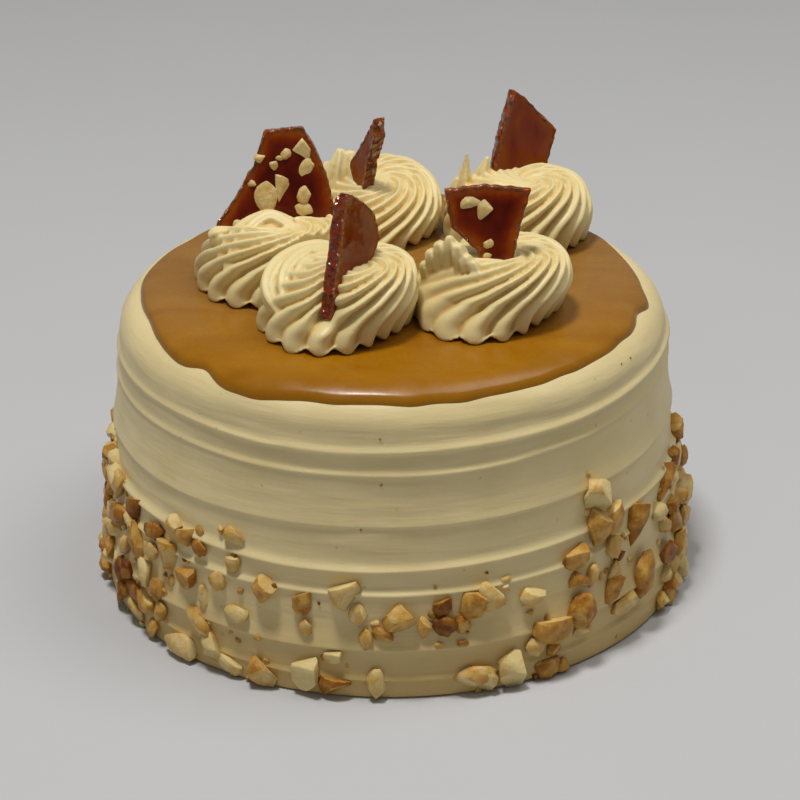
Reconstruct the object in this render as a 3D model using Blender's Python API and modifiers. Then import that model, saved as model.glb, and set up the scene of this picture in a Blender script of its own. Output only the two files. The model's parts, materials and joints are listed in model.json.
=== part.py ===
"""Peanut butter truffle cake.

A round frosted cake with a poured caramel top, five piped buttercream
rosettes and a shard of nut brittle standing in each of them.

Metres, +Z up. The origin is the middle of the flat underside and the side
shown in the photograph faces -Y.
"""

import math

import bmesh
import bpy
from mathutils import Vector

MM = 0.001

# Clearance left between pieces that touch
GAP = 0.3 * MM

# Frosted cake
FROSTING_TOP = 81.5 * MM
SHOULDER_WIDTH = 10.9 * MM
SHOULDER_DROP = 9.4 * MM
WALL_RADIUS_TOP = 72.9 * MM
WALL_RADIUS_MIDDLE = 77.3 * MM
WALL_RADIUS_FOOT = 80.4 * MM
MIDDLE_HEIGHT = 37.4 * MM
FOOT_ROUNDING = 0.9 * MM
CAKE_COLUMNS = 60
SHOULDER_ROWS = 5

# Ledges left by the scraper round the side, from the top down. Each one has its
# crest height, how far it stands out, how far it flares above the crest and drops
# below it, how much it climbs and dips on its way round, and the direction (degrees
# from +X) in which it is highest.
LEDGES = (
    (67.5, 1.3, 4.0, 1.8, 0.7, 35.0),
    (61.6, 0.6, 2.6, 0.9, 0.5, 160.0),
    (47.9, 0.6, 3.2, 0.9, 0.8, -20.0),
    (36.3, 1.2, 3.4, 1.3, 0.9, 15.0),
    (29.4, 0.9, 2.5, 1.2, 0.7, 200.0),
    (22.0, 0.6, 2.2, 1.2, 0.8, 60.0),
    (14.9, 0.7, 2.6, 1.1, 0.5, -100.0),
    (6.2, 0.7, 2.2, 1.2, 0.4, 120.0),
)

# Poured caramel on top
GLAZE_THICKNESS = 1.8 * MM
GLAZE_RADIUS = 68.8 * MM
GLAZE_SHIFT_TO_FRONT = 2.8 * MM
GLAZE_COLUMNS = 60
# Tongues (plus) and notches (minus) of its edge: direction and width in degrees,
# reach in millimetres
GLAZE_LOBES = (
    (-119.0, 13.0, 1.3),
    (-134.0, 4.0, -0.9),
    (-163.0, 14.0, -2.0),
    (-12.0, 7.0, 1.4),
    (38.0, 12.0, -1.4),
    (96.0, 16.0, 1.2),
    (150.0, 14.0, -1.6),
)

# Piped rosettes: name, middle, radius and height in millimetres, direction of the
# first ridge in degrees, and how far the crown sits off the middle in millimetres
ROSETTES = (
    ("rosette_left", (-32.3, 0.0), 20.9, 18.8, 10.0, (6.0, -2.5)),
    ("rosette_front", (-14.3, -29.6), 20.8, 19.5, 24.0, (7.0, -2.5)),
    ("rosette_right", (25.6, -22.6), 20.8, 18.8, 2.0, (7.0, -3.5)),
    ("rosette_back_right", (35.6, 30.4), 20.9, 19.0, 17.0, (4.0, -0.5)),
    ("rosette_back", (-6.3, 35.8), 20.7, 18.9, 5.0, (5.0, -5.0)),
)
RIDGES = 17
COLUMNS_PER_RIDGE = 3
# One section of a rosette after another, from the foot to the crown: share of the
# radius, share of the height, depth of the grooves in millimetres and how far the
# ridges have turned by there in degrees
ROSETTE_SECTIONS = (
    (0.95, 0.00, 1.0, 0.0),
    (1.00, 0.12, 1.9, 1.0),
    (1.00, 0.29, 2.2, 6.0),
    (0.96, 0.50, 2.1, 18.0),
    (0.86, 0.71, 1.8, 34.0),
    (0.70, 0.89, 1.4, 56.0),
    (0.48, 0.99, 0.9, 86.0),
    (0.24, 1.00, 0.5, 120.0),
)
# The foot spreads out at the front left and is drawn in at the front right: direction
# and width in degrees, share of the radius at the very foot
FOOT_SPREADS = ((-108.0, 38.0, 0.13), (-48.0, 28.0, -0.10))
FOOT_SPREAD_LIFT = 0.5
CROWN_DIMPLE = 0.97
# The pull-off tail of the piping, a soft hump on the left shoulder
TAIL_PLACE = (-0.58, 0.12)
TAIL_HEIGHT = 3.0 * MM
TAIL_WIDTH = 0.24

# Shards of nut brittle: name, foot point, turn of the face to the right and lean to
# the back in degrees, and the broken outline seen from the front, in millimetres
# from the foot point
BRITTLE_THICKNESS = 3.6 * MM
BRITTLE_ROUNDING = 0.45 * MM
SHARDS = (
    (
        "brittle_left",
        (-33.0, 1.0, 101.0),
        0.0,
        12.0,
        (
            (-13.9, -2.0), (-11.4, -5.6), (-5.0, -9.5), (9.0, -9.5), (18.6, -1.0),
            (16.1, 11.0), (13.2, 18.4), (9.8, 24.2), (-0.5, 23.2), (-3.4, 14.2),
            (-9.0, 5.0),
        ),
    ),
    (
        "brittle_front",
        (-17.0, -48.0, 92.5),
        58.0,
        0.0,
        (
            (0.4, 0.0), (3.0, -2.2), (14.0, 2.0), (24.6, 13.5), (22.0, 21.0),
            (17.0, 26.0), (11.5, 29.8), (8.6, 29.0), (4.6, 15.6),
        ),
    ),
    (
        "brittle_right",
        (27.0, -31.0, 100.0),
        0.0,
        12.0,
        (
            (-13.3, 19.2), (-11.6, 9.6), (-4.8, 3.2), (-2.8, -8.5), (2.6, -8.5),
            (5.9, 8.5), (9.0, 19.2), (-3.0, 20.4),
        ),
    ),
    (
        "brittle_back_right",
        (33.0, 35.0, 100.0),
        25.0,
        0.0,
        (
            (-6.3, -2.0), (-3.6, -9.0), (9.0, -7.5), (11.9, 2.0), (14.4, 11.1),
            (4.2, 22.2), (0.8, 24.3), (-2.6, 13.4),
        ),
    ),
    (
        "brittle_back",
        (-8.0, 31.0, 97.5),
        -58.0,
        0.0,
        (
            (-4.0, 0.0), (-3.0, -7.0), (1.5, -7.0), (5.6, 8.6), (10.2, 18.0),
            (9.6, 23.6), (6.8, 19.8), (-0.6, 10.2), (-3.4, 7.2),
        ),
    ),
)

FROSTING_COLOUR = (0.62, 0.52, 0.32, 1.0)
PIPING_COLOUR = (0.66, 0.55, 0.33, 1.0)
CARAMEL_COLOUR = (0.36, 0.16, 0.03, 1.0)
BRITTLE_COLOUR = (0.16, 0.03, 0.01, 1.0)


def clear_scene():
    for thing in list(bpy.data.objects):
        bpy.data.objects.remove(thing, do_unlink=True)


def make_collection(name):
    collection = bpy.data.collections.new(name)
    bpy.context.scene.collection.children.link(collection)
    return collection


def make_material(name, colour, roughness):
    material = bpy.data.materials.new(name)
    material.use_nodes = True
    shader = material.node_tree.nodes["Principled BSDF"]
    shader.inputs["Base Color"].default_value = colour
    shader.inputs["Roughness"].default_value = roughness
    return material


def add_object(name, mesh_data, collection, material):
    thing = bpy.data.objects.new(name, mesh_data)
    mesh_data.materials.append(material)
    collection.objects.link(thing)
    return thing


def close_loft(name, rings, first_pole, last_pole):
    """Skin a stack of rings and close both ends on a single point."""
    bm = bmesh.new()
    loops = [[bm.verts.new(point) for point in ring] for ring in rings]
    count = len(loops[0])
    for lower, upper in zip(loops, loops[1:]):
        for i in range(count):
            j = (i + 1) % count
            # the shorter diagonal keeps a turning ridge in one piece
            rising = (lower[i].co - upper[j].co).length
            falling = (lower[j].co - upper[i].co).length
            if falling <= rising:
                bm.faces.new((lower[i], lower[j], upper[i]))
                bm.faces.new((lower[j], upper[j], upper[i]))
            else:
                bm.faces.new((lower[i], lower[j], upper[j]))
                bm.faces.new((lower[i], upper[j], upper[i]))
    start = bm.verts.new(first_pole)
    finish = bm.verts.new(last_pole)
    for i in range(count):
        j = (i + 1) % count
        bm.faces.new((start, loops[0][j], loops[0][i]))
        bm.faces.new((finish, loops[-1][i], loops[-1][j]))
    for face in bm.faces:
        face.smooth = True
    mesh_data = bpy.data.meshes.new(name)
    bm.to_mesh(mesh_data)
    bm.free()
    return mesh_data


# Shape of the frosted cake

def wall_radius(height):
    """Radius of the side without its ledges: a straight taper above the middle and a
    soft spread towards the foot."""
    if height >= MIDDLE_HEIGHT:
        share = (height - MIDDLE_HEIGHT) / (FROSTING_TOP + 1.5 * MM - MIDDLE_HEIGHT)
        return WALL_RADIUS_MIDDLE + (WALL_RADIUS_TOP - WALL_RADIUS_MIDDLE) * share
    share = (MIDDLE_HEIGHT - height) / MIDDLE_HEIGHT
    spread = WALL_RADIUS_FOOT - WALL_RADIUS_MIDDLE
    return WALL_RADIUS_MIDDLE + spread * math.sin(share * math.pi / 2)


def shoulder_start():
    return wall_radius(FROSTING_TOP - SHOULDER_DROP) - SHOULDER_WIDTH


def top_height(radius):
    """Height of the frosting under a point of the top, flat and then rounding over."""
    reach = (radius - shoulder_start()) / SHOULDER_WIDTH
    reach = min(max(reach, 0.0), 1.0)
    return FROSTING_TOP - SHOULDER_DROP * (1 - math.sqrt(1 - reach * reach))


def build_cake(collection, material):
    directions = [math.tau * i / CAKE_COLUMNS for i in range(CAKE_COLUMNS)]

    def ring(radii, heights):
        return [
            Vector((r * math.cos(a), r * math.sin(a), z))
            for a, r, z in zip(directions, radii, heights)
        ]

    rings = []
    foot = wall_radius(0.0)
    rings.append(ring([foot - FOOT_ROUNDING] * CAKE_COLUMNS, [0.0] * CAKE_COLUMNS))
    rings.append(ring([foot] * CAKE_COLUMNS, [1.3 * MM] * CAKE_COLUMNS))
    for crest, reach, flare, drop, climb, highest in reversed(LEDGES):
        for offset, share in ((-drop, 0.0), (0.0, 1.0), (flare, 0.0)):
            radii = []
            heights = []
            for a in directions:
                wave = math.sin(a - math.radians(highest) + math.pi / 2)
                z = (crest + offset + climb * wave) * MM
                # a ledge fades and swells a little on its way round
                swell = 0.8 + 0.2 * math.sin(2 * a + math.radians(3 * highest))
                radii.append(wall_radius(z) + reach * swell * share * MM)
                heights.append(z)
            rings.append(ring(radii, heights))
    side_top = wall_radius(FROSTING_TOP - SHOULDER_DROP)
    for row in range(SHOULDER_ROWS):
        turn = math.pi / 2 * row / (SHOULDER_ROWS - 1)
        radius = side_top - SHOULDER_WIDTH * (1 - math.cos(turn))
        height = FROSTING_TOP - SHOULDER_DROP * (1 - math.sin(turn))
        rings.append(ring([radius] * CAKE_COLUMNS, [height] * CAKE_COLUMNS))
    mesh_data = close_loft(
        "frosted_cake", rings, Vector((0, 0, 0)), Vector((0, 0, FROSTING_TOP))
    )
    return add_object("frosted_cake", mesh_data, collection, material)


# Shape of the poured caramel

def glaze_edge(direction):
    """Distance from the middle of the cake to the edge of the caramel."""
    reach = GLAZE_RADIUS - GLAZE_SHIFT_TO_FRONT * math.sin(direction)
    for middle, width, size in GLAZE_LOBES:
        away = math.degrees(direction) - middle
        away = (away + 180) % 360 - 180
        reach += size * MM * math.exp(-((away / width) ** 2))
    return reach


def glaze_top(radius):
    return top_height(radius) + GAP + GLAZE_THICKNESS


def build_glaze(collection, material):
    directions = [math.tau * i / GLAZE_COLUMNS for i in range(GLAZE_COLUMNS)]
    # share of the reach, share of the thickness
    sections = (
        (0.860, 0.00),
        (0.930, 0.00),
        (0.975, 0.00),
        (0.997, 0.22),
        (0.997, 0.55),
        (0.982, 0.84),
        (0.945, 0.98),
        (0.860, 1.00),
    )
    rings = []
    for share, lift in sections:
        ring = []
        for a in directions:
            r = glaze_edge(a) * share
            z = top_height(r) + GAP + GLAZE_THICKNESS * lift
            ring.append(Vector((r * math.cos(a), r * math.sin(a), z)))
        rings.append(ring)
    middle = FROSTING_TOP + GAP
    mesh_data = close_loft(
        "caramel_glaze",
        rings,
        Vector((0, 0, middle)),
        Vector((0, 0, middle + GLAZE_THICKNESS)),
    )
    return add_object("caramel_glaze", mesh_data, collection, material)


# Shape of the piped rosettes

def free_reach(own, radius, start, direction):
    """How far a rosette may reach from a start point in one direction: it is pressed
    flat where a neighbour touches."""
    reach = math.inf
    for _, (x, y), other_radius, _, _, _ in ROSETTES:
        to_other = Vector((x, y)) * MM - own
        distance = to_other.length
        if distance < GAP or distance > radius + other_radius * MM + 2 * GAP:
            continue
        # the shared flat lies between the two in proportion to their sizes
        flat = distance * radius / (radius + other_radius * MM) - GAP / 2
        facing = math.cos(direction - math.atan2(to_other.y, to_other.x))
        if facing > 0.0:
            left_over = flat - (start - own).dot(to_other) / distance
            reach = min(reach, left_over / facing)
    return reach


def foot_spread(direction, lift):
    """Share by which the radius grows or shrinks towards the foot."""
    low = max(0.0, 1 - lift / FOOT_SPREAD_LIFT)
    spread = 1.0
    for middle, width, size in FOOT_SPREADS:
        away = (math.degrees(direction) - middle + 180) % 360 - 180
        spread += low * size * math.exp(-((away / width) ** 2))
    return spread


def build_rosette(name, middle, radius, height, first, crown, collection, material):
    centre = Vector(middle) * MM
    crown_shift = Vector(crown) * MM
    radius = radius * MM
    height = height * MM
    columns = RIDGES * COLUMNS_PER_RIDGE
    level = glaze_top(0.0) + GAP

    def place(direction, share, lift, groove):
        """One corner of a section; the groove is cut inwards low down and downwards
        near the crown."""
        start = centre + crown_shift * lift**2
        reach = radius * share * foot_spread(direction, lift)
        reach = min(reach, free_reach(centre, radius, start, direction))
        reach -= groove * (1 - 0.8 * lift)
        x = start.x + reach * math.cos(direction)
        y = start.y + reach * math.sin(direction)
        # the foot follows the caramel down over the shoulder, the crown stays level
        ground = glaze_top(math.hypot(x, y)) + GAP
        tail_x = (x - centre.x) / radius - TAIL_PLACE[0]
        tail_y = (y - centre.y) / radius - TAIL_PLACE[1]
        tail = TAIL_HEIGHT * math.exp(-(tail_x**2 + tail_y**2) / TAIL_WIDTH**2)
        rise = (height - groove) * lift + tail * lift**2
        return Vector((x, y, ground + (level - ground) * lift + rise))

    rings = []
    # underside, following the caramel
    for share in (0.35, 0.55, 0.72):
        ring = []
        for i in range(columns):
            direction = math.tau * i / columns + math.radians(first)
            ring.append(place(direction, share, 0.0, 0.0))
        rings.append(ring)
    if centre.length + radius < shoulder_start():
        rings = []
    for share, lift, relief, turned in ROSETTE_SECTIONS:
        ring = []
        for i in range(columns):
            depth = (1 - math.cos(math.tau * i / COLUMNS_PER_RIDGE)) / 2
            direction = math.tau * i / columns + math.radians(first + turned)
            ring.append(place(direction, share, lift, relief * depth * MM))
        rings.append(ring)
    foot = Vector((centre.x, centre.y, glaze_top(centre.length) + GAP))
    top = Vector((*(centre + crown_shift), foot.z + height * CROWN_DIMPLE))
    mesh_data = close_loft(name, rings, foot, top)
    return add_object(name, mesh_data, collection, material)


# Shape of the brittle

def grow(outline, by):
    """Move every side of a closed outline outwards by the same distance."""
    grown = []
    count = len(outline)
    for i, corner in enumerate(outline):
        before = (corner - outline[i - 1]).normalized()
        after = (outline[(i + 1) % count] - corner).normalized()
        out_before = Vector((before.y, -before.x))
        out_after = Vector((after.y, -after.x))
        middle = (out_before + out_after).normalized()
        grown.append(corner + middle * by / max(middle.dot(out_after), 0.4))
    return grown


def plate(name, outline, thickness):
    """A flat plate standing in the XZ plane, its thickness along Y."""
    bm = bmesh.new()
    front = [bm.verts.new((p.x, -thickness / 2, p.y)) for p in outline]
    back = [bm.verts.new((p.x, thickness / 2, p.y)) for p in outline]
    bm.faces.new(front)
    bm.faces.new(back[::-1])
    for i in range(len(outline)):
        j = (i + 1) % len(outline)
        bm.faces.new((front[j], front[i], back[i], back[j]))
    mesh_data = bpy.data.meshes.new(name)
    bm.to_mesh(mesh_data)
    bm.free()
    return mesh_data


def stand_up(thing, foot, turn, lean):
    thing.location = Vector(foot) * MM
    thing.rotation_euler = (-math.radians(lean), 0.0, math.radians(turn))


def build_shard(name, foot, turn, lean, outline, collection, material):
    corners = [Vector(corner) * MM for corner in outline]
    thing = add_object(name, plate(name, corners, BRITTLE_THICKNESS), collection, material)
    stand_up(thing, foot, turn, lean)
    bevel = thing.modifiers.new("broken edges", "BEVEL")
    bevel.width = BRITTLE_ROUNDING
    bevel.segments = 1
    bevel.limit_method = "ANGLE"
    bevel.angle_limit = math.radians(50)
    return thing


def build_slot(name, foot, turn, lean, outline, collection, material):
    """Cutter for the slot a shard has pressed into its rosette."""
    corners = grow([Vector(corner) * MM for corner in outline], GAP)
    mesh_data = plate(name, corners, BRITTLE_THICKNESS + 2 * GAP)
    thing = add_object(name, mesh_data, collection, material)
    stand_up(thing, foot, turn, lean)
    thing.hide_render = True
    thing.display_type = "WIRE"
    return thing


def main():
    clear_scene()
    parts = make_collection("peanut_butter_truffle_cake")
    cutters = make_collection("cutters")
    frosting = make_material("frosting", FROSTING_COLOUR, 0.45)
    piping = make_material("piping", PIPING_COLOUR, 0.5)
    caramel = make_material("caramel", CARAMEL_COLOUR, 0.2)
    brittle = make_material("brittle", BRITTLE_COLOUR, 0.12)

    build_cake(parts, frosting)
    build_glaze(parts, caramel)
    for rosette, shard in zip(ROSETTES, SHARDS):
        swirl = build_rosette(*rosette, parts, piping)
        build_shard(*shard, parts, brittle)
        slot = build_slot("slot_for_" + shard[0], *shard[1:], cutters, piping)
        cut = swirl.modifiers.new("shard slot", "BOOLEAN")
        cut.operation = "DIFFERENCE"
        cut.solver = "EXACT"
        cut.object = slot


main()
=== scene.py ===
# %% [markdown]
# # A peanut butter truffle cake
#
# A round cake in peanut buttercream. The side was scraped on a turntable, which left
# uneven ledges, the top is flooded with caramel, and five piped rosettes each hold a
# shard of nut brittle. Chopped roasted peanuts are pressed round the lower side.
#
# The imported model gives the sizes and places. This lesson builds the fine surfaces
# over it, one piece of the real cake after another.

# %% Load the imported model
import json
import math

import bmesh
import bpy
import numpy as np
from mathutils import Matrix, Vector, noise

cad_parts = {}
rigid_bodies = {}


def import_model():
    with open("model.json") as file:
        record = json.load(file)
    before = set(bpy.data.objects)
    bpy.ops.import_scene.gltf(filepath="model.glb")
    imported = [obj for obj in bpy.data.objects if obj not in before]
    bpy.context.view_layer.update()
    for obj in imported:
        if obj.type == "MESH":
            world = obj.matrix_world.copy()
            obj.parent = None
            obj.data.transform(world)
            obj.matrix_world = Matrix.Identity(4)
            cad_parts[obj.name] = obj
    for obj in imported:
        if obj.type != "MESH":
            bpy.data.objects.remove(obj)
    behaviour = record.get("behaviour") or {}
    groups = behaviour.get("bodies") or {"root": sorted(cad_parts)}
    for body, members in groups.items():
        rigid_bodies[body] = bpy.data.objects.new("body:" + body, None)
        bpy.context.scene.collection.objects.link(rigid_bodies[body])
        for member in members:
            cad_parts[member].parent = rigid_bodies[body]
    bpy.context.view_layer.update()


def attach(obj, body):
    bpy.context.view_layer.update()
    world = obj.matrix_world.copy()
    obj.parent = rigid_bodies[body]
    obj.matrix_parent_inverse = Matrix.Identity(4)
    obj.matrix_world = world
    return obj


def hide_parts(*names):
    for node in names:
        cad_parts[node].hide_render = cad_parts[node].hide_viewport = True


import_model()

MM = 0.001

# %% [markdown]
# ## A few helpers
#
# Cooks and painters pick colours on a screen, as hex codes. Shaders want light
# amounts, so `linear` turns one into the other. `add_node` puts a node into any tree,
# with its settings and links in one call, and `feed` does the links alone, for a node
# that is there already. `painted` lays colours over one another, as a baker would.
#
# `mesh_object` makes a smooth object from points in millimetres, because a cake is
# easier to think of in millimetres. `store` keeps a number for every point of a mesh,
# which materials and node trees can then read by its name.

# %% Helpers for colours and nodes
MATH = "ShaderNodeMath"
MIX = "ShaderNodeMix"
RANGE = "ShaderNodeMapRange"
NOISE = "ShaderNodeTexNoise"
CURVE = "ShaderNodeFloatCurve"
BUMP = "ShaderNodeBump"
NAMED = "GeometryNodeInputNamedAttribute"


def linear(code):
    """The linear colour of an sRGB hex code such as #C8BE96."""
    parts = [int(code[i:i + 2], 16) / 255 for i in (1, 3, 5)]
    return [p / 12.92 if p <= 0.04045 else ((p + 0.055) / 1.055) ** 2.4 for p in parts] + [1.0]


def feed(tree, node, inputs):
    """Give inputs a plain value, a socket to link, or a node whose first output is linked."""
    for name, value in inputs.items():
        if isinstance(value, bpy.types.Node):
            value = value.outputs[0]
        if isinstance(value, bpy.types.NodeSocket):
            tree.links.new(value, node.inputs[name])
        else:
            node.inputs[name].default_value = value


def add_node(tree, kind, inputs=None, **settings):
    """A new node with its settings and its inputs fed."""
    made = tree.nodes.new(kind)
    for name, value in settings.items():
        setattr(made, name, value)
    feed(tree, made, inputs or {})
    return made


# %% Helpers for materials
def new_material(name):
    """A material, its tree and its shader."""
    material = bpy.data.materials.new(name)
    material.use_nodes = True
    return material, material.node_tree, material.node_tree.nodes["Principled BSDF"]


def painted(tree, colour, coats):
    """The colour under coats of others, each as thick as its share says."""
    for share, code in coats:
        mixed = add_node(tree, MIX, {0: share, 6: colour, 7: linear(code)}, data_type="RGBA")
        colour = mixed.outputs[2]
    return colour


print("red of #C8BE96 as an amount of light:", round(linear("#C8BE96")[0], 3))

# %% Helpers for meshes
def new_object(name, data):
    """An object of the scene that holds the data."""
    thing = bpy.data.objects.new(name, data)
    bpy.context.scene.collection.objects.link(thing)
    return thing


def mesh_object(name, points, faces, material):
    """A smooth-shaded object from points in millimetres."""
    data = bpy.data.meshes.new(name)
    data.from_pydata((np.asarray(points) * MM).tolist(), [], faces)
    data.shade_smooth()
    data.materials.append(material)
    return new_object(name, data)


def points_of(data):
    """The vertices of a mesh as an array in millimetres."""
    found = np.empty(len(data.vertices) * 3, np.float32)
    data.vertices.foreach_get("co", found)
    return found.reshape(-1, 3).astype(float) / MM


def set_points(data, points):
    data.vertices.foreach_set("co", (points * MM).astype(np.float32).ravel())
    data.update()


def store(data, label, values, kind="FLOAT"):
    """Keep a value for every point of a mesh under a name."""
    made = data.attributes.new(label, kind, "POINT")
    field = "vector" if kind == "FLOAT_VECTOR" else "value"
    made.data.foreach_set(field, values.astype(np.int32 if kind == "INT" else np.float32).ravel())


# %% Helpers for shapes
def wander(points, lengths, seed=0.0):
    """Smooth noise from -1 to 1 at each point. lengths are the sizes of its waves along
    X, Y and Z in millimetres, and seed picks another part of the same noise."""
    scaled = points / np.asarray(lengths, float) + seed
    return np.array([noise.noise(Vector(place)) for place in scaled])


def soft_step(low, high, value):
    share = np.clip((value - low) / (high - low), 0, 1)
    return share * share * (3 - 2 * share)


def directions(count):
    """The turn of each of so many even directions, and its way outwards."""
    turns = np.arange(count) / count * 2 * math.pi
    return turns, np.stack([np.cos(turns), np.sin(turns)], 1)


def round_points(out, radius, height):
    """Points at a radius and a height in each direction."""
    return np.stack([out[:, 0] * radius, out[:, 1] * radius, height], -1)


# %% [markdown]
# ## Buttercream, the material
#
# Butter, sugar and peanut butter whipped with air. Light goes a few millimetres into
# it and comes out warmer, so it needs subsurface scattering with a longer reach for
# red than for blue. Fat gives it a soft satin shine, never a mirror. Ground peanut
# leaves faint brown specks, and the blade leaves drag lines much finer than the
# ledges, so those are bump and not mesh.

# %% Buttercream
def whipped_buttercream(name, pale, deep, drag):
    """drag is how much flatter the fine lines are than long, 1 for none."""
    material, tree, shader = new_material(name)
    place = add_node(tree, "ShaderNodeTexCoord").outputs["Object"]
    # clouds of paler and deeper cream about 14 mm across
    cloud = add_node(tree, NOISE, {
        "Vector": place, "Scale": 1 / (14 * MM), "Detail": 3.0, "Roughness": 0.55})
    tint = add_node(tree, RANGE, {0: cloud, 1: 0.30, 2: 0.70, 3: 0.2, 4: 0.8})
    # painted shade: the lowest 30 mm are painted deeper, where less light comes up from below
    height = add_node(tree, "ShaderNodeSeparateXYZ", {0: place})
    painted_low_shade = add_node(tree, RANGE, {0: height.outputs[2], 1: 0.0, 2: 30 * MM, 3: 0.85, 4: 0.0})
    # painted shade: the grooves between ridges are painted warmer and deeper, for the shade and the light
    # bounced through the cream there
    groove = add_node(tree, "ShaderNodeAttribute", attribute_name="groove")
    painted_groove_shade = add_node(tree, MATH, {0: groove.outputs["Fac"], 1: 0.75}, operation="MULTIPLY")
    # specks of ground peanut, less than 1 mm across and 5 mm apart
    speck = add_node(tree, "ShaderNodeTexVoronoi", {"Vector": place, "Scale": 1 / (5 * MM)})
    spot = add_node(tree, RANGE, {0: speck, 1: 0.03, 2: 0.12, 3: 0.30, 4: 0.0})
    rare = add_node(tree, "ShaderNodeSeparateColor", {0: speck.outputs["Color"]})
    chosen = add_node(tree, MATH, {0: rare, 1: 0.55}, operation="LESS_THAN")
    amount = add_node(tree, MATH, {0: spot, 1: chosen}, operation="MULTIPLY")
    colour = painted(tree, linear(pale), (
        (tint, deep), (painted_low_shade, "#BC9C58"), (painted_groove_shade, "#D4AC62"), (amount, "#8A5A26")))
    # drag lines 0.9 mm apart along the blade, and air bubbles of about 0.5 mm
    squeezed = add_node(tree, "ShaderNodeMapping", {0: place, 3: (1, 1, drag)})
    lines = add_node(tree, NOISE, {
        "Vector": squeezed, "Scale": 1 / (8 * MM), "Detail": 4.0, "Roughness": 0.6})
    grain = add_node(tree, NOISE, {"Vector": place, "Scale": 1 / (0.8 * MM), "Detail": 2.0})
    relief = add_node(tree, MATH, {0: grain, 1: 0.25, 2: lines}, operation="MULTIPLY_ADD")
    feed(tree, shader, {
        "Base Color": colour,
        "Normal": add_node(tree, BUMP, {"Strength": 0.4, "Distance": 0.25 * MM, "Height": relief}),
        "Roughness": add_node(tree, RANGE, {0: lines, 1: 0.3, 2: 0.7, 3: 0.38, 4: 0.52}),
        "Specular IOR Level": 0.4, "Subsurface Weight": 0.3,
        "Subsurface Radius": (1.0, 0.55, 0.25), "Subsurface Scale": 0.8 * MM})
    return material


scraped_cream = whipped_buttercream("scraped peanut buttercream", "#E4D3A2", "#DAC791", 9)
piped_cream = whipped_buttercream("piped peanut buttercream", "#E6D6A0", "#DCCA90", 1)
print("two buttercreams, scraped and piped")

# %% [markdown]
# ## The coat of buttercream
#
# On the real cake a blade stands against the side while the turntable turns. Where it
# presses less, cream is left standing out: it flares outwards on its way down and
# then drops back sharply at a crest, like the tiles of a roof. The shoulder rolls over
# to the flat top.
#
# A plain turned profile would give perfect rings. Here the outline is worked out anew
# in each of many directions, so that every ledge climbs, sinks and swells on its way
# round, and the rows of the mesh follow the crests, which keeps them crisp.

# %% Outline of the cake without its ledges
TOP = 81.5
SHOULDER_WIDTH = 10.9
SHOULDER_DROP = 9.4
WALL_TOP_RADIUS = 72.9
MIDDLE_RADIUS = 77.3
FOOT_RADIUS = 80.4
MIDDLE_HEIGHT = 37.4
SHOULDER_FOOT = TOP - SHOULDER_DROP


def wall_radius(height):
    """Radius of the side: straight taper above the middle, soft spread to the foot."""
    upper = (height - MIDDLE_HEIGHT) / (TOP + 1.5 - MIDDLE_HEIGHT)
    lower = np.clip((MIDDLE_HEIGHT - height) / MIDDLE_HEIGHT, 0, 1)
    spread = (FOOT_RADIUS - MIDDLE_RADIUS) * np.sin(lower * math.pi / 2)
    taper = (WALL_TOP_RADIUS - MIDDLE_RADIUS) * np.maximum(upper, 0)
    return MIDDLE_RADIUS + taper + spread


SHOULDER_START = float(wall_radius(SHOULDER_FOOT)) - SHOULDER_WIDTH


def top_height(radius):
    """Height of the cream at a distance from the middle of the top."""
    reach = np.clip((radius - SHOULDER_START) / SHOULDER_WIDTH, 0, 1)
    return TOP - SHOULDER_DROP * (1 - np.sqrt(1 - reach * reach))


print("the shoulder starts", round(SHOULDER_START, 1), "mm from the middle")

# %% Ledges of the scraper
# From the top down: height of the crest at the front, how far the flare reaches above
# it and the fall below it, how far the crest stands out, how far the cream still
# stands out under the fall, and how much higher the line runs at the left and right
LEDGES = (
    (67.6, 2.0, 0.9, 1.3, 0.10, 0.5, 1.8),
    (61.7, 2.0, 0.35, 0.9, 0.30, -0.3, 2.2),
    (47.5, 8.6, 0.30, 0.9, 0.30, -0.8, 1.8),
    (35.9, 2.5, 0.35, 1.6, 0.40, 0.3, 2.0),
    (29.4, 1.7, 0.30, 1.2, 0.40, 0.1, 1.1),
    (14.3, 7.9, 0.30, 1.4, 0.40, 0.2, 0.4),
    (5.7, 1.5, 0.40, 0.9, 0.40, 1.6, 1.2),
)
# Where the blade was set down again: ledge, direction in degrees, jump of its flare
LAPS = {0: (-113.0, 0.9), 1: (-64.0, 1.1)}
COLUMNS = 380
ROW_STEP = 0.46
# The power by which a flare leaves the side: 1 is straight, more juts out later
LIP = 2.0
print(len(LEDGES), "ledges between", LEDGES[-1][0], "and", LEDGES[0][0], "mm up")

# %% Where every ledge runs
turns, outward = directions(COLUMNS)
# left and right are read 60 degrees round from the front, where the cosines of the turn
# differ by 1.73 and one plus the cosine of the double turn is one and a half
ACROSS, BOTH = 1.73, 3
WAVER = 0.35
SWELL = 0.35
FADED_LEFT = 0.4
LEAST_GAP = 0.2


def run_of_a_line(left, right):
    """Height of a line all the way round: 0 at the front, its rise at left and right."""
    return (right - left) / ACROSS * np.cos(turns) + (right + left) / BOTH * (1 + np.cos(2 * turns))


def lap(direction, jump):
    """A sudden step at one direction, made up for slowly all the way round."""
    past = np.degrees(turns) - direction
    share = (past % 360) / 360
    return jump * (0.5 - share) * soft_step(0, 0.006, share) * soft_step(0, 0.006, 1 - share)


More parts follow.
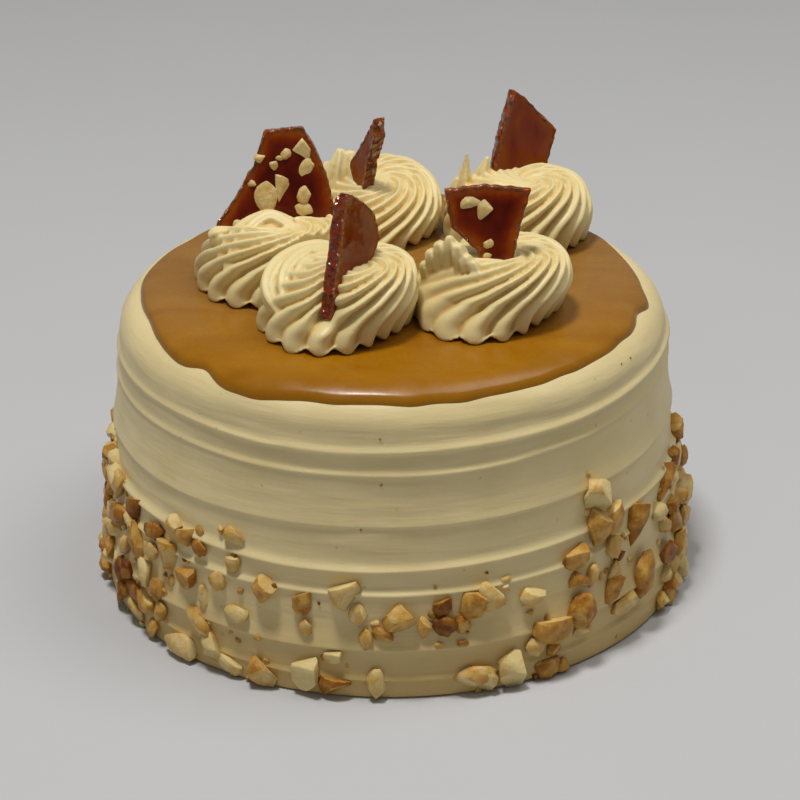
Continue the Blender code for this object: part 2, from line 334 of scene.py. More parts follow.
knots = []
ring = round_points(outward, 78, np.zeros(COLUMNS))
for number, (crest, flare, fall, out, left_over, left, right) in enumerate(LEDGES):
    line = crest + run_of_a_line(left, right) + WAVER * wander(ring, (38, 38, 38), number + 0.5)
    swell = 1 + SWELL * wander(ring, (30, 30, 30), 7.3 * number + 3)
    if number < 2:
        # the upper two lines fade towards the left
        swell = swell * (1 - FADED_LEFT * soft_step(0.1, 0.9, -outward[:, 0]))
    rise = lap(*LAPS[number]) if number in LAPS else 0
    for height, standing_out in (
            (line + flare + rise, 0), (line + 0.3 * rise, out), (line + 0.3 * rise - fall, left_over)):
        if knots:
            # where a line sinks onto the one below, the lower one gives way
            height = np.minimum(height, knots[-1][0] - LEAST_GAP)
        knots.append((height, standing_out * swell))
print(len(knots), "knots in the outline")

# %% Over the shoulder
SHOULDER_ROWS = 40
FOOT_EDGE = 1.1
FOOT_ROUND = 1.0
FOOT_OUT = 0.25


def shoulder_point(turn):
    """Radius and height over the rounded shoulder; below it the wall goes on."""
    over = np.clip(turn, 0, math.pi / 2)
    height = SHOULDER_FOOT + SHOULDER_DROP * (np.sin(over) + np.minimum(turn, 0))
    side = wall_radius(np.minimum(height, SHOULDER_FOOT))
    return side - SHOULDER_WIDTH * (1 - np.cos(over)), height


def shoulder_turn(height):
    """How far over the shoulder a height lies in radians, or below it in its drops."""
    turn = (height - SHOULDER_FOOT) / SHOULDER_DROP
    return np.where(turn > 0, np.arcsin(np.clip(turn, 0, 1)), turn)


print("the shoulder is", SHOULDER_WIDTH, "mm wide and", SHOULDER_DROP, "mm high")

# %% Rows of the coat
heights = []
radii = []
standing = []
# the shoulder, from the flat top down to the first flare
first = shoulder_turn(knots[0][0])
for row in range(SHOULDER_ROWS):
    radius, height = shoulder_point(math.pi / 2 + (first - math.pi / 2) * row / SHOULDER_ROWS)
    heights.append(height)
    radii.append(radius)
    standing.append(np.zeros(COLUMNS))
# from knot to knot down the side
knots.append((np.full(COLUMNS, FOOT_EDGE), np.full(COLUMNS, FOOT_OUT)))
for (upper, upper_out), (lower, lower_out) in zip(knots, knots[1:]):
    rows = max(3, round(float(np.mean(upper - lower)) / ROW_STEP))
    for row in range(rows):
        share = row / rows
        height = upper + (lower - upper) * share
        heights.append(height)
        radii.append(shoulder_point(shoulder_turn(height))[0])
        # a flare is a lip: it leaves the side gently and juts out at the crest
        bent = np.where(lower_out > upper_out, share ** LIP, share)
        standing.append(upper_out + (lower_out - upper_out) * bent)
heights.append(np.full(COLUMNS, FOOT_EDGE))
radii.append(np.full(COLUMNS, float(wall_radius(FOOT_EDGE))))
for share in (0.35, 0.7, 1.0):
    # the foot rounds in where the cream meets the surface below
    heights.append(np.full(COLUMNS, FOOT_EDGE * (1 - share)))
    radii.append(np.full(COLUMNS, FOOT_RADIUS - FOOT_ROUND * share * share))
standing += [np.full(COLUMNS, FOOT_OUT)] * 4
heights, radii, standing = np.array(heights), np.array(radii), np.array(standing)
print("the outline has", len(radii), "rows in each of", COLUMNS, "directions")

# %% Skin of the coat
# How high the lumps of the cream are, how long along X, Y and Z, and where in the noise
LUMPS = ((0.40, (34, 34, 13), 11.0), (0.16, (15, 15, 3.2), 23.0), (0.05, (11, 11, 0.9), 41.0))
# the blade's edge is soft: round the corners of the outline a little
standing[1:-1] = (standing[:-2] + 2 * standing[1:-1] + standing[2:]) / 4

grid = round_points(outward, radii, heights).reshape(-1, 3)
fading = 1 - soft_step(76.0, 80.5, heights.ravel())
lumps = sum(high * wander(grid, lengths, seed) for high, lengths, seed in LUMPS)
radii = radii + standing + (lumps * fading * soft_step(0, 3, heights.ravel())).reshape(radii.shape)
rows = len(radii)
coat = round_points(outward, radii, heights).reshape(-1, 3)


def skin_of(rows, columns):
    """Quads between the rows of a round grid, then fans to a top and a bottom point."""
    faces = []
    for row in range(rows - 1):
        for i in range(columns):
            j = (i + 1) % columns
            a, b = row * columns + i, row * columns + j
            faces.append((a, a + columns, b + columns, b))
    top, bottom = rows * columns, rows * columns + 1
    last = (rows - 1) * columns
    for i in range(columns):
        j = (i + 1) % columns
        faces.append((top, i, j))
        faces.append((bottom, last + j, last + i))
    return faces


poles = [(0, 0, TOP), (0, 0, 0)]
frosting = mesh_object("frosting", np.vstack([coat, poles]), skin_of(rows, COLUMNS), scraped_cream)
print("frosting:", len(frosting.data.polygons), "faces, widest", round(2 * radii.max(), 1), "mm")

# %% [markdown]
# ## Poured caramel
#
# Warm caramel floods the flat top, creeps over the start of the shoulder and stops at a
# wandering edge with a few tongues. It sets as a film of nearly even thickness, and
# surface tension rounds its edge into a blunt nose. It is made as one closed skin: an
# underside just inside the cream, the nose as a quarter of a superellipse, and the top.

# %% Caramel
def poured_caramel():
    """Sugar boiled with cream: an amber that is dense but lets light in a little, under a
    smooth skin. The satin comes from a very thin dull layer that forms as it sets."""
    material, tree, shader = new_material("poured caramel")
    place = add_node(tree, "ShaderNodeTexCoord").outputs["Object"]
    # the pour stirred streaks of 16 mm into it, drawn out along X
    drawn = add_node(tree, "ShaderNodeMapping", {0: place, 3: (0.45, 1.0, 1.0)})
    streak = add_node(tree, NOISE, {
        "Vector": drawn, "Scale": 1 / (16 * MM), "Detail": 3.0, "Distortion": 0.8})
    ramp = add_node(tree, RANGE, {0: streak, 1: 0.32, 2: 0.68, 3: 0.0, 4: 1.0})
    # the second pair is the paler, greyer back, a painted reflection
    thick, back_with_painted_reflection = [
        add_node(tree, MIX, {0: ramp, 6: linear(one), 7: linear(other)}, data_type="RGBA")
        for one, other in (("#8E5A00", "#9E6A0A"), ("#8A5E26", "#966C32"))]
    # painted reflection: behind the middle the caramel is painted paler and greyer, for the pale room its
    # top reflects; in front it stays deep
    where = add_node(tree, "ShaderNodeSeparateXYZ", {0: place})
    spread = add_node(tree, RANGE, {
        0: where.outputs[1], 1: -55 * MM, 2: 5 * MM, 3: 0.0, 4: 1.0}, interpolation_type="SMOOTHSTEP")
    colour = add_node(tree, MIX, {
        0: spread, 6: thick.outputs[2], 7: back_with_painted_reflection.outputs[2]}, data_type="RGBA")
    # the skin is duller and smoother in patches of 5 mm
    haze = add_node(tree, NOISE, {"Vector": place, "Scale": 1 / (5 * MM), "Detail": 4.0})
    feed(tree, shader, {
        "Base Color": colour.outputs[2],
        "Normal": add_node(tree, BUMP, {"Strength": 0.25, "Distance": 0.2 * MM, "Height": haze}),
        "Roughness": add_node(tree, RANGE, {0: haze, 1: 0.3, 2: 0.7, 3: 0.20, 4: 0.32}),
        "IOR": 1.48, "Specular IOR Level": 0.35, "Subsurface Weight": 0.15,
        "Subsurface Radius": (1.0, 0.4, 0.1), "Subsurface Scale": 1.5 * MM})
    return material


caramel = poured_caramel()
print("caramel mixed from", len(caramel.node_tree.nodes), "nodes")

# %% Edge of the pour
THICKNESS = 1.9
THINNING = 0.5
# The rounded nose at its edge: how wide, and the power of its superellipse
NOSE = 1.6
NOSE_POWER = 2.3
NOSE_ROWS = 12
# It reaches further at the front than at the back, and its edge wanders
POUR_RADIUS = 68.5
POUR_SHIFT = 2.4
WANDERING = 0.45
# Tongues (plus) and notches (minus): direction, width in degrees, reach
TONGUES = (
    (-121, 11, 1.6), (-133, 3.5, -1.2), (-143, 6, 0.8), (-163, 13, -1.6), (-18, 3.5, -0.8),
    (-11, 4, 1.1), (12, 14, -2.0), (38, 12, -1.2), (96, 16, 1.2), (150, 14, -2.4),
)
POUR_COLUMNS = 360
pour_turns, pour_out = directions(POUR_COLUMNS)
edge = POUR_RADIUS - POUR_SHIFT * np.sin(pour_turns)
for direction, width, reach in TONGUES:
    away = (np.degrees(pour_turns) - direction + 180) % 360 - 180
    edge = edge + reach * np.exp(-((away / width) ** 2))
edge = edge + WANDERING * wander(round_points(pour_out, 70, 0 * edge), (9, 9, 9), 5.0)


def film(radius):
    """How thick the caramel lies: it thins a little as it runs down the shoulder."""
    return THICKNESS - THINNING * soft_step(SHOULDER_START - 3, SHOULDER_START + 7, radius)


print("the edge wanders between", round(edge.min(), 1), "and", round(edge.max(), 1), "mm")

# %% Skin of the pour
# How deep the underside lies in the cream, and how high the waves on top are
UNDER = 0.4
WAVES = 0.16
INNER_ROWS = 60
pour = []
# underside, just inside the cream, from the middle out
for share in (0.3, 0.6, 0.8, 0.9, 0.95, 1.0):
    radius = (edge - UNDER) * share
    pour.append((radius, top_height(radius) - UNDER))
# the nose from its foot up and over, then the upper side back to the middle
for step in range(1, NOSE_ROWS + 1):
    lift = math.pi / 2 * step / NOSE_ROWS
    radius = edge - NOSE * (1 - math.cos(lift) ** (2 / NOSE_POWER))
    rise = math.sin(lift) ** (2 / NOSE_POWER)
    pour.append((radius, top_height(radius) - UNDER + (film(radius) + UNDER) * rise))
for row in range(1, INNER_ROWS):
    radius = (edge - NOSE) * (1 - (row / INNER_ROWS) ** 1.3)
    pour.append((radius, top_height(radius) + film(radius)))
pour = pour[::-1]
pour_points = np.concatenate([round_points(pour_out, radius, height) for radius, height in pour])
above = pour_points[:, 2] - top_height(np.hypot(pour_points[:, 0], pour_points[:, 1]))
pour_points[:, 2] += soft_step(0.5, 1.4, above) * WAVES * wander(pour_points, (26, 17, 30), 2.0)
ends = [(0, 0, TOP + THICKNESS), (0, 0, TOP - UNDER)]
skin = skin_of(len(pour), POUR_COLUMNS)
glaze = mesh_object("caramel_pour", np.vstack([pour_points, ends]), skin, caramel)
print("caramel:", len(glaze.data.polygons), "faces")

# %% [markdown]
# ## Piped rosettes
#
# A star nozzle is held above one spot and moved round in a small circle, so that the
# cream swells out under it. Its teeth leave ridges, which stand almost upright at the
# foot, lean over with the turn of the hand on the way up, and run in round a dimple.
# The dimple isn't in the middle, because the nozzle is drawn off to one side.
#
# That is a rule, so Geometry Nodes work it out. A flat grid is rolled up: across it runs
# the way round, and up it the way from under the foot, up the side and in to the dimple.
# Drawn curves give the outline, the sweep of the ridges and the depth of the grooves.

# %% Helpers for node trees
def new_tree(name, inputs):
    """A Geometry Nodes tree with named inputs, each of the kind of its default value."""
    kinds = {float: "NodeSocketFloat", int: "NodeSocketInt", tuple: "NodeSocketVector"}
    tree = bpy.data.node_groups.new(name, "GeometryNodeTree")
    sides = tree.interface
    sides.new_socket("Geometry", in_out="INPUT", socket_type="NodeSocketGeometry")
    for label, value in inputs.items():
        if isinstance(value, str):
            # what has no plain default is given by the name of its socket
            sides.new_socket(label, in_out="INPUT", socket_type=value)
        else:
            made = sides.new_socket(label, in_out="INPUT", socket_type=kinds[type(value)])
            made.default_value = value
    sides.new_socket("Geometry", in_out="OUTPUT", socket_type="NodeSocketGeometry")
    return tree, add_node(tree, "NodeGroupInput").outputs


def finish_tree(tree, geometry, material):
    real = add_node(tree, "GeometryNodeRealizeInstances", {0: geometry})
    dressed = add_node(tree, "GeometryNodeSetMaterial", {"Geometry": real, "Material": material})
    add_node(tree, "NodeGroupOutput", {0: dressed})
    return tree


def draw_curve(node, points):
    """Give a Float Curve node its points and return it."""
    curve = node.mapping.curves[0]
    for place in points[1:-1]:
        curve.points.new(*place)
    curve.points[0].location = points[0]
    curve.points[-1].location = points[-1]
    node.mapping.update()
    return node


# %% Helpers for ridges
def turned_towards(tree, direction, way):
    """1 where a direction is the given way, falling to 0 a quarter turn from it."""
    away = add_node(tree, MATH, {0: direction, 1: way}, operation="SUBTRACT")
    ahead = add_node(tree, MATH, {0: away}, operation="COSINE")
    return add_node(tree, MATH, {0: ahead, 1: 0.0}, operation="MAXIMUM")


def gap_between_ridges(tree, angle):
    """0 on top of round ridges and 1 in the narrow gaps between them."""
    wave = add_node(tree, MATH, {0: angle}, operation="COSINE")
    ridge = add_node(tree, MATH, {0: wave}, operation="ABSOLUTE")
    return add_node(tree, MATH, {0: 1.0, 1: ridge}, operation="SUBTRACT")


# %% Outline of a rosette
# How far along from under the foot to the dimple, then shares of the radius, of the
# height, of the sweep and of the groove
ROSETTE_LINE = (
    (0.00, 0.00, 0.00, 0.02, 0.00), (0.10, 0.95, 0.00, 0.02, 0.75), (0.16, 1.00, 0.12, 0.01, 0.95),
    (0.25, 1.00, 0.30, 0.02, 1.00), (0.35, 0.96, 0.50, 0.06, 1.00), (0.45, 0.88, 0.69, 0.13, 0.97),
    (0.56, 0.76, 0.86, 0.22, 0.90), (0.65, 0.62, 0.96, 0.31, 0.82), (0.72, 0.50, 1.00, 0.39, 0.74),
    (0.80, 0.35, 1.00, 0.51, 0.60), (0.90, 0.18, 0.97, 0.73, 0.42), (1.00, 0.00, 0.91, 1.00, 0.00),
)
COLUMNS_A_RIDGE = 14
ROWS_UP = 110
# Where the ridges curl most, and where the foot spreads and tucks in, in degrees
CURL_AT, SPREAD_AT, TUCK_AT = 60.0, -108.0, -35.0
FOOT_NARROW = 4.0
print(len(ROSETTE_LINE), "points from the foot to the dimple")


# %% Where a point of a rosette lies
def rosette_direction(tree, given, round_it, rise, sweep):
    """The direction of a point: its ridge, swept on by the way up."""
    swept = add_node(tree, MATH, {0: sweep, 1: given["Sweep"], 2: given["First"]}, operation="MULTIPLY_ADD")
    ahead = add_node(tree, MATH, {0: round_it, 1: swept}, operation="ADD")
    # at the right and the back the ridges still run round on their way down, and crowd
    # together where they curl under at the front right
    turned_back = add_node(tree, MATH, {0: ahead, 1: math.radians(-CURL_AT)}, operation="ADD")
    facing = add_node(tree, MATH, {0: turned_back}, operation="COSINE")
    side = add_node(tree, MATH, {0: facing, 1: 0.5, 2: 0.5}, operation="MULTIPLY_ADD")
    lower = add_node(tree, RANGE, {0: rise, 1: 0.0, 2: 0.60, 3: 1.0, 4: 0.0})
    there = add_node(tree, MATH, {0: side, 1: lower}, operation="MULTIPLY")
    curl = add_node(tree, MATH, {0: there, 1: given["Curl"]}, operation="MULTIPLY")
    return add_node(tree, MATH, {0: ahead, 1: curl}, operation="SUBTRACT")


def rosette_spot(tree, given, direction, reach, rise):
    """The place of a point, before the grooves are cut."""
    # the foot spreads at the front left and tucks in at the front right, as a broad bump
    # in each direction that fades out halfway up
    low = add_node(tree, RANGE, {0: rise, 1: 0.0, 2: 0.5, 3: 1.0, 4: 0.0})
    size = 1.0
    for facing, amount, sign in ((SPREAD_AT, "Foot Spread", "ADD"), (TUCK_AT, "Foot Tuck", "SUBTRACT")):
        near = turned_towards(tree, direction, math.radians(facing))
        bump = add_node(tree, MATH, {0: near, 1: FOOT_NARROW}, operation="POWER")
        faded = add_node(tree, MATH, {0: bump, 1: low}, operation="MULTIPLY")
        change = add_node(tree, MATH, {0: faded, 1: given[amount]}, operation="MULTIPLY")
        size = add_node(tree, MATH, {0: size, 1: change}, operation=sign)
    wide = add_node(tree, MATH, {0: reach, 1: given["Radius"]}, operation="MULTIPLY")
    radius = add_node(tree, MATH, {0: wide, 1: size}, operation="MULTIPLY")
    # the dimple is off the middle, more and more towards the top
    late = add_node(tree, MATH, {0: rise, 1: 2.0}, operation="POWER")
    sides = []
    for way, shift in (("COSINE", "Shift X"), ("SINE", "Shift Y")):
        turned = add_node(tree, MATH, {0: direction}, operation=way)
        moved = add_node(tree, MATH, {0: late, 1: given[shift]}, operation="MULTIPLY")
        sides.append(add_node(tree, MATH, {0: radius, 1: turned, 2: moved}, operation="MULTIPLY_ADD"))
    # the top can lean, higher towards +Y
    leaning = add_node(tree, MATH, {
        0: sides[1], 1: given["Lean Y"], 2: given["Height"]}, operation="MULTIPLY_ADD")
    height = add_node(tree, MATH, {0: leaning, 1: rise}, operation="MULTIPLY")
    return add_node(tree, "ShaderNodeCombineXYZ", {0: sides[0], 1: sides[1], 2: height})


# %% How deep the teeth of the nozzle cut
def groove_depth(tree, given, round_it, along, groove, direction):
    """Round lobes with narrow gaps, of which every second runs out near the dimple."""
    phase = add_node(tree, MATH, {0: round_it, 1: given["Ridges"]}, operation="MULTIPLY")
    valleys = []
    for share in (0.5, 0.25):
        part = add_node(tree, MATH, {0: phase, 1: share}, operation="MULTIPLY")
        valleys.append(gap_between_ridges(tree, part))
    inner = add_node(tree, RANGE, {0: along, 1: 0.74, 2: 0.86, 3: 0.0, 4: 1.0})
    valley = add_node(tree, MIX, {0: inner, 2: valleys[0], 3: valleys[1]})
    cut = add_node(tree, MATH, {0: groove, 1: given["Groove"]}, operation="MULTIPLY")
    # they are worn away on the side that the nozzle left from
    near = turned_towards(tree, direction, given["Smooth Direction"])
    worn = add_node(tree, MATH, {0: near, 1: given["Smooth Side"]}, operation="MULTIPLY")
    kept = add_node(tree, MATH, {0: 1.0, 1: worn}, operation="SUBTRACT")
    deep = add_node(tree, MATH, {0: cut, 1: valley}, operation="MULTIPLY")
    return add_node(tree, MATH, {0: deep, 1: kept}, operation="MULTIPLY")


# %% The rosette as a node tree
def rosette_tree():
    tree, given = new_tree("piped rosette", {
        "Radius": 0.021, "Height": 0.019, "Shift X": 0.006, "Shift Y": -0.003, "Lean Y": 0.0,
        "Ridges": 16, "Groove": 0.0024, "Sweep": 2.1, "Curl": 1.2, "First": 0.0, "Foot Spread": 0.12,
        "Foot Tuck": 0.1, "Smooth Side": 0.5, "Smooth Direction": 3.1, "Cream": "NodeSocketMaterial"})
    across = add_node(tree, MATH, {0: given["Ridges"], 1: COLUMNS_A_RIDGE, 2: 1.0}, operation="MULTIPLY_ADD")
    grid = add_node(tree, "GeometryNodeMeshGrid", {"Vertices X": across, "Vertices Y": ROWS_UP})
    place = add_node(tree, "ShaderNodeSeparateXYZ", {0: add_node(tree, "GeometryNodeInputPosition")})
    round_it = add_node(tree, MATH, {
        0: place.outputs[0], 1: 2 * math.pi, 2: math.pi}, operation="MULTIPLY_ADD")
    along = add_node(tree, MATH, {0: place.outputs[1], 1: 0.5}, operation="ADD")
    reach, rise, sweep, groove = [
        draw_curve(add_node(tree, CURVE, {"Value": along}), [(row[0], row[column]) for row in ROSETTE_LINE])
        for column in (1, 2, 3, 4)]
    direction = rosette_direction(tree, given, round_it, rise, sweep)
    spot = rosette_spot(tree, given, direction, reach, rise)
    depth = groove_depth(tree, given, round_it, along, groove, direction)
    marked = add_node(tree, "GeometryNodeStoreNamedAttribute", {
        "Geometry": grid, "Name": "depth", "Value": depth}, data_type="FLOAT", domain="POINT")
    rolled = add_node(tree, "GeometryNodeSetPosition", {"Geometry": marked, "Position": spot})
    closed = add_node(tree, "GeometryNodeMergeByDistance", {"Geometry": rolled, "Distance": 1e-5})
    stored = add_node(tree, NAMED, {"Name": "depth"}, data_type="FLOAT")
    inwards = add_node(tree, MATH, {0: stored, 1: -1.0}, operation="MULTIPLY")
    offset = add_node(tree, "ShaderNodeVectorMath", {
        0: add_node(tree, "GeometryNodeInputNormal"), "Scale": inwards}, operation="SCALE")
    ridged = add_node(tree, "GeometryNodeSetPosition", {"Geometry": closed, "Offset": offset})
    return finish_tree(tree, ridged, given["Cream"])


piped_rosette = rosette_tree()
print("rosette tree:", len(piped_rosette.nodes), "nodes")

# %% Helper that runs a node tree and keeps a plain mesh
def settle(thing):
    """Turn an object's modifiers into a plain mesh of one material."""
    bpy.context.view_layer.update()
    seen = thing.evaluated_get(bpy.context.evaluated_depsgraph_get())
    result = bpy.data.meshes.new_from_object(seen)
    # a tree that starts from a primitive leaves an empty slot before the real one
    worn = [material for material in result.materials if material]
    result.materials.clear()
    result.polygons.foreach_set("material_index", [0] * len(result.polygons))
    for material in worn[:1]:
        result.materials.append(material)
    thing.modifiers.clear()
    thing.data = result
    return thing


def run_tree(name, data, tree, values):
    """Evaluate the tree on a mesh with these inputs, then leave only its result."""
    thing = new_object(name, data)
    made = thing.modifiers.new("tree", "NODES")
    made.node_group = tree
    for item in tree.interface.items_tree:
        if item.in_out == "INPUT" and item.name in values:
            made[item.identifier] = values[item.name]
    return settle(thing)


def melt(thing, voxel, passes):
    """One closed skin round everything the object holds, relaxed a little."""
    skin = thing.modifiers.new("skin", "REMESH")
    skin.mode = "VOXEL"
    skin.voxel_size = voxel * MM
    skin.use_smooth_shade = True
    relax = thing.modifiers.new("relax", "SMOOTH")
    relax.factor = 0.5
    relax.iterations = passes
    return settle(thing)


# %% [markdown]
# ## Tails of cream
#
# When the baker lifts the nozzle, the cream doesn't stop at once. It leaves a hook, a
# peak or a ragged flap on one side of the rosette, with the same flutes as the ridges.
# Each is drawn as a line with a thickness at every point. The tree below sweeps a
# fluted star along the lines, and the skin that closes a rosette takes them in.

# %% The tail as a node tree
POINTS_A_FLUTE = 6
TAIL_STEP = 0.6


def tail_tree():
    """A fluted rope along every line of a mesh, as thick as its attribute "fat" says."""
    tree, given = new_tree("piped tail", {"Ridges": 5, "Flute": 0.5, "Cream": "NodeSocketMaterial"})
    line = add_node(tree, "GeometryNodeMeshToCurve", {0: given["Geometry"]})
    bent = add_node(tree, "GeometryNodeCurveSplineType", {"Curve": line}, spline_type="CATMULL_ROM")
    fine = add_node(
        tree, "GeometryNodeResampleCurve", {"Curve": bent, "Length": TAIL_STEP * MM}, mode="LENGTH")
    # the star: a few points a ridge on a circle of radius one, pulled in between the ridges
    around = add_node(tree, MATH, {0: given["Ridges"], 1: POINTS_A_FLUTE}, operation="MULTIPLY")
    circle = add_node(tree, "GeometryNodeCurvePrimitiveCircle", {"Resolution": around, "Radius": 1.0})
    index = add_node(tree, "GeometryNodeInputIndex")
    turned = add_node(tree, MATH, {0: index, 1: math.pi / POINTS_A_FLUTE}, operation="MULTIPLY")
    valley = gap_between_ridges(tree, turned)
    cut = add_node(tree, MATH, {0: valley, 1: given["Flute"]}, operation="MULTIPLY")
    size = add_node(tree, MATH, {0: 1.0, 1: cut}, operation="SUBTRACT")
    drawn = add_node(tree, "ShaderNodeVectorMath", {
        0: add_node(tree, "GeometryNodeInputPosition"), "Scale": size}, operation="SCALE")
    star = add_node(tree, "GeometryNodeSetPosition", {"Geometry": circle, "Position": drawn})
    fat = add_node(tree, NAMED, {"Name": "fat"}, data_type="FLOAT")
    rope = add_node(tree, "GeometryNodeCurveToMesh", {
        "Curve": fine, "Profile Curve": star, "Scale": fat, "Fill Caps": True})
    return finish_tree(tree, rope, given["Cream"])


piped_tail = tail_tree()
print("tail tree:", len(piped_tail.nodes), "nodes")


# %% Helpers for the tails
def drawn_lines(lines):
    """A mesh of lines through points of x, y, z and thickness in millimetres."""
    points = np.array([point for line in lines for point in line], float)
    edges = []
    first = 0
    for line in lines:
        edges += [(first + i, first + i + 1) for i in range(len(line) - 1)]
        first += len(line)
    data = bpy.data.meshes.new("lines")
    data.from_pydata((points[:, :3] * MM).tolist(), edges, [])
    store(data, "fat", points[:, 3] * MM)
    return data


def take_in(thing, other):
    """Add the faces of another object to this one and remove the other."""
    form = bmesh.new()
    form.from_mesh(thing.data)
    form.from_mesh(other.data)
    form.to_mesh(thing.data)
    form.free()
    bpy.data.objects.remove(other)


# %% Where the tails run
# For each rosette, how many flutes its tails have, how deep a share of the thickness
# they are, and the lines, in the cake's frame
TAILS = {
    # a hook that leans over to the left, a second one behind it and a curl with a ball end
    "rosette_left": (5, 0.30, (
        ((-24, -9, 99.6, 1.4), (-28.5, -6, 101.4, 2.4), (-32.3, -4.6, 102.3, 2.6), (-36.6, -7, 100.4, 2.4),
         (-41, -12, 96.4, 2.0), (-43.5, -14.5, 92, 1.2)),
        ((-28, -9, 97.4, 1.6), (-32.5, -8.4, 99.4, 2.4), (-37, -10, 97.6, 1.6)),
        ((-27, -1.5, 99.4, 2.2), (-31.5, -1.8, 100.8, 2.8), (-36, -1.5, 99.4, 2.2)),
        ((-26, -5, 101, 1.8), (-31.6, -3, 101.8, 2.6), (-35.5, -3, 101.4, 2.3), (-39.8, -4.8, 99.8, 2),
         (-43.8, -9, 96, 1.7), (-45.8, -11.6, 91, 1)),
        ((-38, -3, 98.6, 1.2), (-42.5, -3.6, 98.6, 1.5), (-46.6, -4, 97.9, 2.3), (-48.6, -4.6, 97.2, 1.2)),
    )),
    # a soft loop out to the left and back, over the side of the rosette behind
    "rosette_front": (5, 0.30, (
        ((-15, -21, 100.6, 1.6), (-19, -21.5, 100.8, 2.4), (-24, -23.5, 100.0, 2.8), (-29, -28, 98.4, 2.9),
         (-31.4, -33, 96.0, 2.6), (-31.0, -37, 93.4, 2.2), (-28.4, -39.6, 90.6, 1.8)),
        ((-16, -25, 101.6, 1.6), (-20.5, -26, 101.4, 2.3), (-25, -29.5, 99.8, 2.4), (-27.2, -34, 97.6, 2.3),
         (-27, -38.6, 94.6, 2.0), (-24.6, -41.4, 91.4, 1.6)),
        ((-17, -29, 101.2, 1.6), (-21.4, -31.5, 100.2, 2.4), (-23.4, -36, 98, 2.3), (-22.6, -40.4, 95, 1.8)),
    )),
    # an upright ragged flap at the left of the shard
    "rosette_right": (5, 0.42, (
        ((10.8, -26, 90, 2.2), (9.6, -26.6, 95.0, 2.1), (8.9, -27, 97.6, 1.9), (8.2, -27, 99.0, 1.2)),
        ((12.6, -27, 92, 2.3), (11.4, -28, 98.0, 2.2), (10.6, -28.4, 101.0, 2.2), (9.8, -28.4, 102.8, 1.3)),
        ((14.4, -28.6, 94, 2.4), (13.4, -29.6, 100, 2.3), (12.8, -30, 103.6, 2.3), (12.0, -30, 105.6, 1.4)),
        ((16.6, -30, 95, 2.5), (15.8, -31.2, 101, 2.4), (15.3, -32, 105.4, 2.2), (14.8, -32.2, 108, 1.0)),
        ((18.8, -31.8, 96, 2.5), (18, -33, 101, 2.4), (17.4, -33.6, 104, 2.4), (16.9, -33.8, 106.4, 1.4)),
        ((20.8, -33.4, 96.4, 2.4), (20, -34.4, 100, 2.3), (19.3, -35, 102, 2.3), (18.9, -35, 104, 1.4)),
        ((22.6, -34.6, 96.6, 2.4), (22, -35.6, 99, 2.2), (21.4, -36, 101, 1.7), (21, -36, 102.6, 0.8)),
    )),
    # a thin peak and a lower one beside the shard
    "rosette_back_right": (5, 0.50, (
        ((20, 30, 96, 3.4), (20.6, 30, 100.4, 2.7), (21, 30, 104, 1.3), (21.3, 30, 108, 0.35)),
        ((25, 30.5, 96, 3.2), (25.6, 30.5, 101, 2.5), (26.6, 31, 104.4, 1.5), (27.1, 31, 106.4, 0.6)),
        ((17.2, 29, 94, 2.8), (17.9, 29, 98, 2.0), (18.6, 29, 101, 0.8)),
    )),
    # a fluted lump with a small ledge in front of it
    "rosette_back": (6, 0.50, (
        ((-19.5, 33, 90, 3.2), (-18.6, 34.5, 97, 3.2), (-17.8, 35.5, 101.4, 2.4), (-17.4, 36, 103.6, 1.1)),
        ((-16, 33, 92, 3.6), (-15, 34.5, 100, 3.5), (-14.2, 36, 104.6, 2.6), (-14, 36.4, 107.2, 1.2)),
        ((-12, 33, 92, 3.6), (-11.6, 34.5, 99.6, 3.4), (-11.2, 36, 104.0, 2.6), (-10.8, 36.4, 106.6, 1.2)),
        ((-8.6, 33, 92, 3.2), (-8.4, 34.5, 98, 2.8), (-8.2, 36, 102.0, 1.8), (-8.0, 36.4, 103.6, 0.8)),
        ((-16.5, 30, 94.6, 1.6), (-12.4, 29, 95.4, 2.3), (-8.2, 28.4, 95.8, 1.5)),
    )),
}
# Where a shard stands on the slope, the cream is pressed in: rosette, two ends of the
# line in x and z, how wide and how deep
DENT = ("rosette_front", (-17.2, 91.0), (-15.2, 104.0), 3.4, 3.8)
print(sum(len(lines) for _, _, lines in TAILS.values()), "tails of cream")

# %% Sizes of the five rosettes
# Name, middle, radius, height and where the dimple is off the middle, in millimetres,
# direction of the first ridge in degrees, spread and tuck of the foot as shares of the
# radius, lean of the top, and how smooth the side is that the nozzle left from
ROSETTES = (
    ("rosette_left", (-32.3, 0.0), 20.9, 18.8, (5.3, -4.0), 10, 0.11, 0.12, 0.0, 0.3),
    ("rosette_front", (-14.3, -29.6), 20.8, 19.6, (6.3, -3.3), 24, 0.13, 0.14, 0.0, 0.3),
    ("rosette_right", (25.6, -22.0), 21.0, 18.8, (5.7, -3.6), 2, 0.20, 0.20, 0.0, 0.8),
    ("rosette_back_right", (35.6, 30.0), 21.0, 19.0, (2.6, -3.4), 17, 0.12, 0.10, 0.0, 0.6),
    ("rosette_back", (-6.3, 35.3), 20.6, 17.4, (3.6, -1.7), 5, 0.12, 0.10, 0.2, 0.3),
)
SURFACE = TOP + THICKNESS
# How many ridges, how deep the gaps between them are, and how far they run round on the
# way up and curl under at the foot, in degrees
RIDGES = 17
GROOVE = 3.4
SWEEP = 194.0
CURL = 20.0
VOXEL = 0.42
# The tree's outline is this much wider than the rosette, which its melted skin takes back
WIDER = 0.3
# How far before the flat between two rosettes the squeezing starts, and how uneven they are
FLATTENED = 0.6
UNEVEN = 0.35
# How far the foot is pressed into the caramel, and over what height it follows it
PRESSED_IN = 0.1
FOLLOWING = 6.0
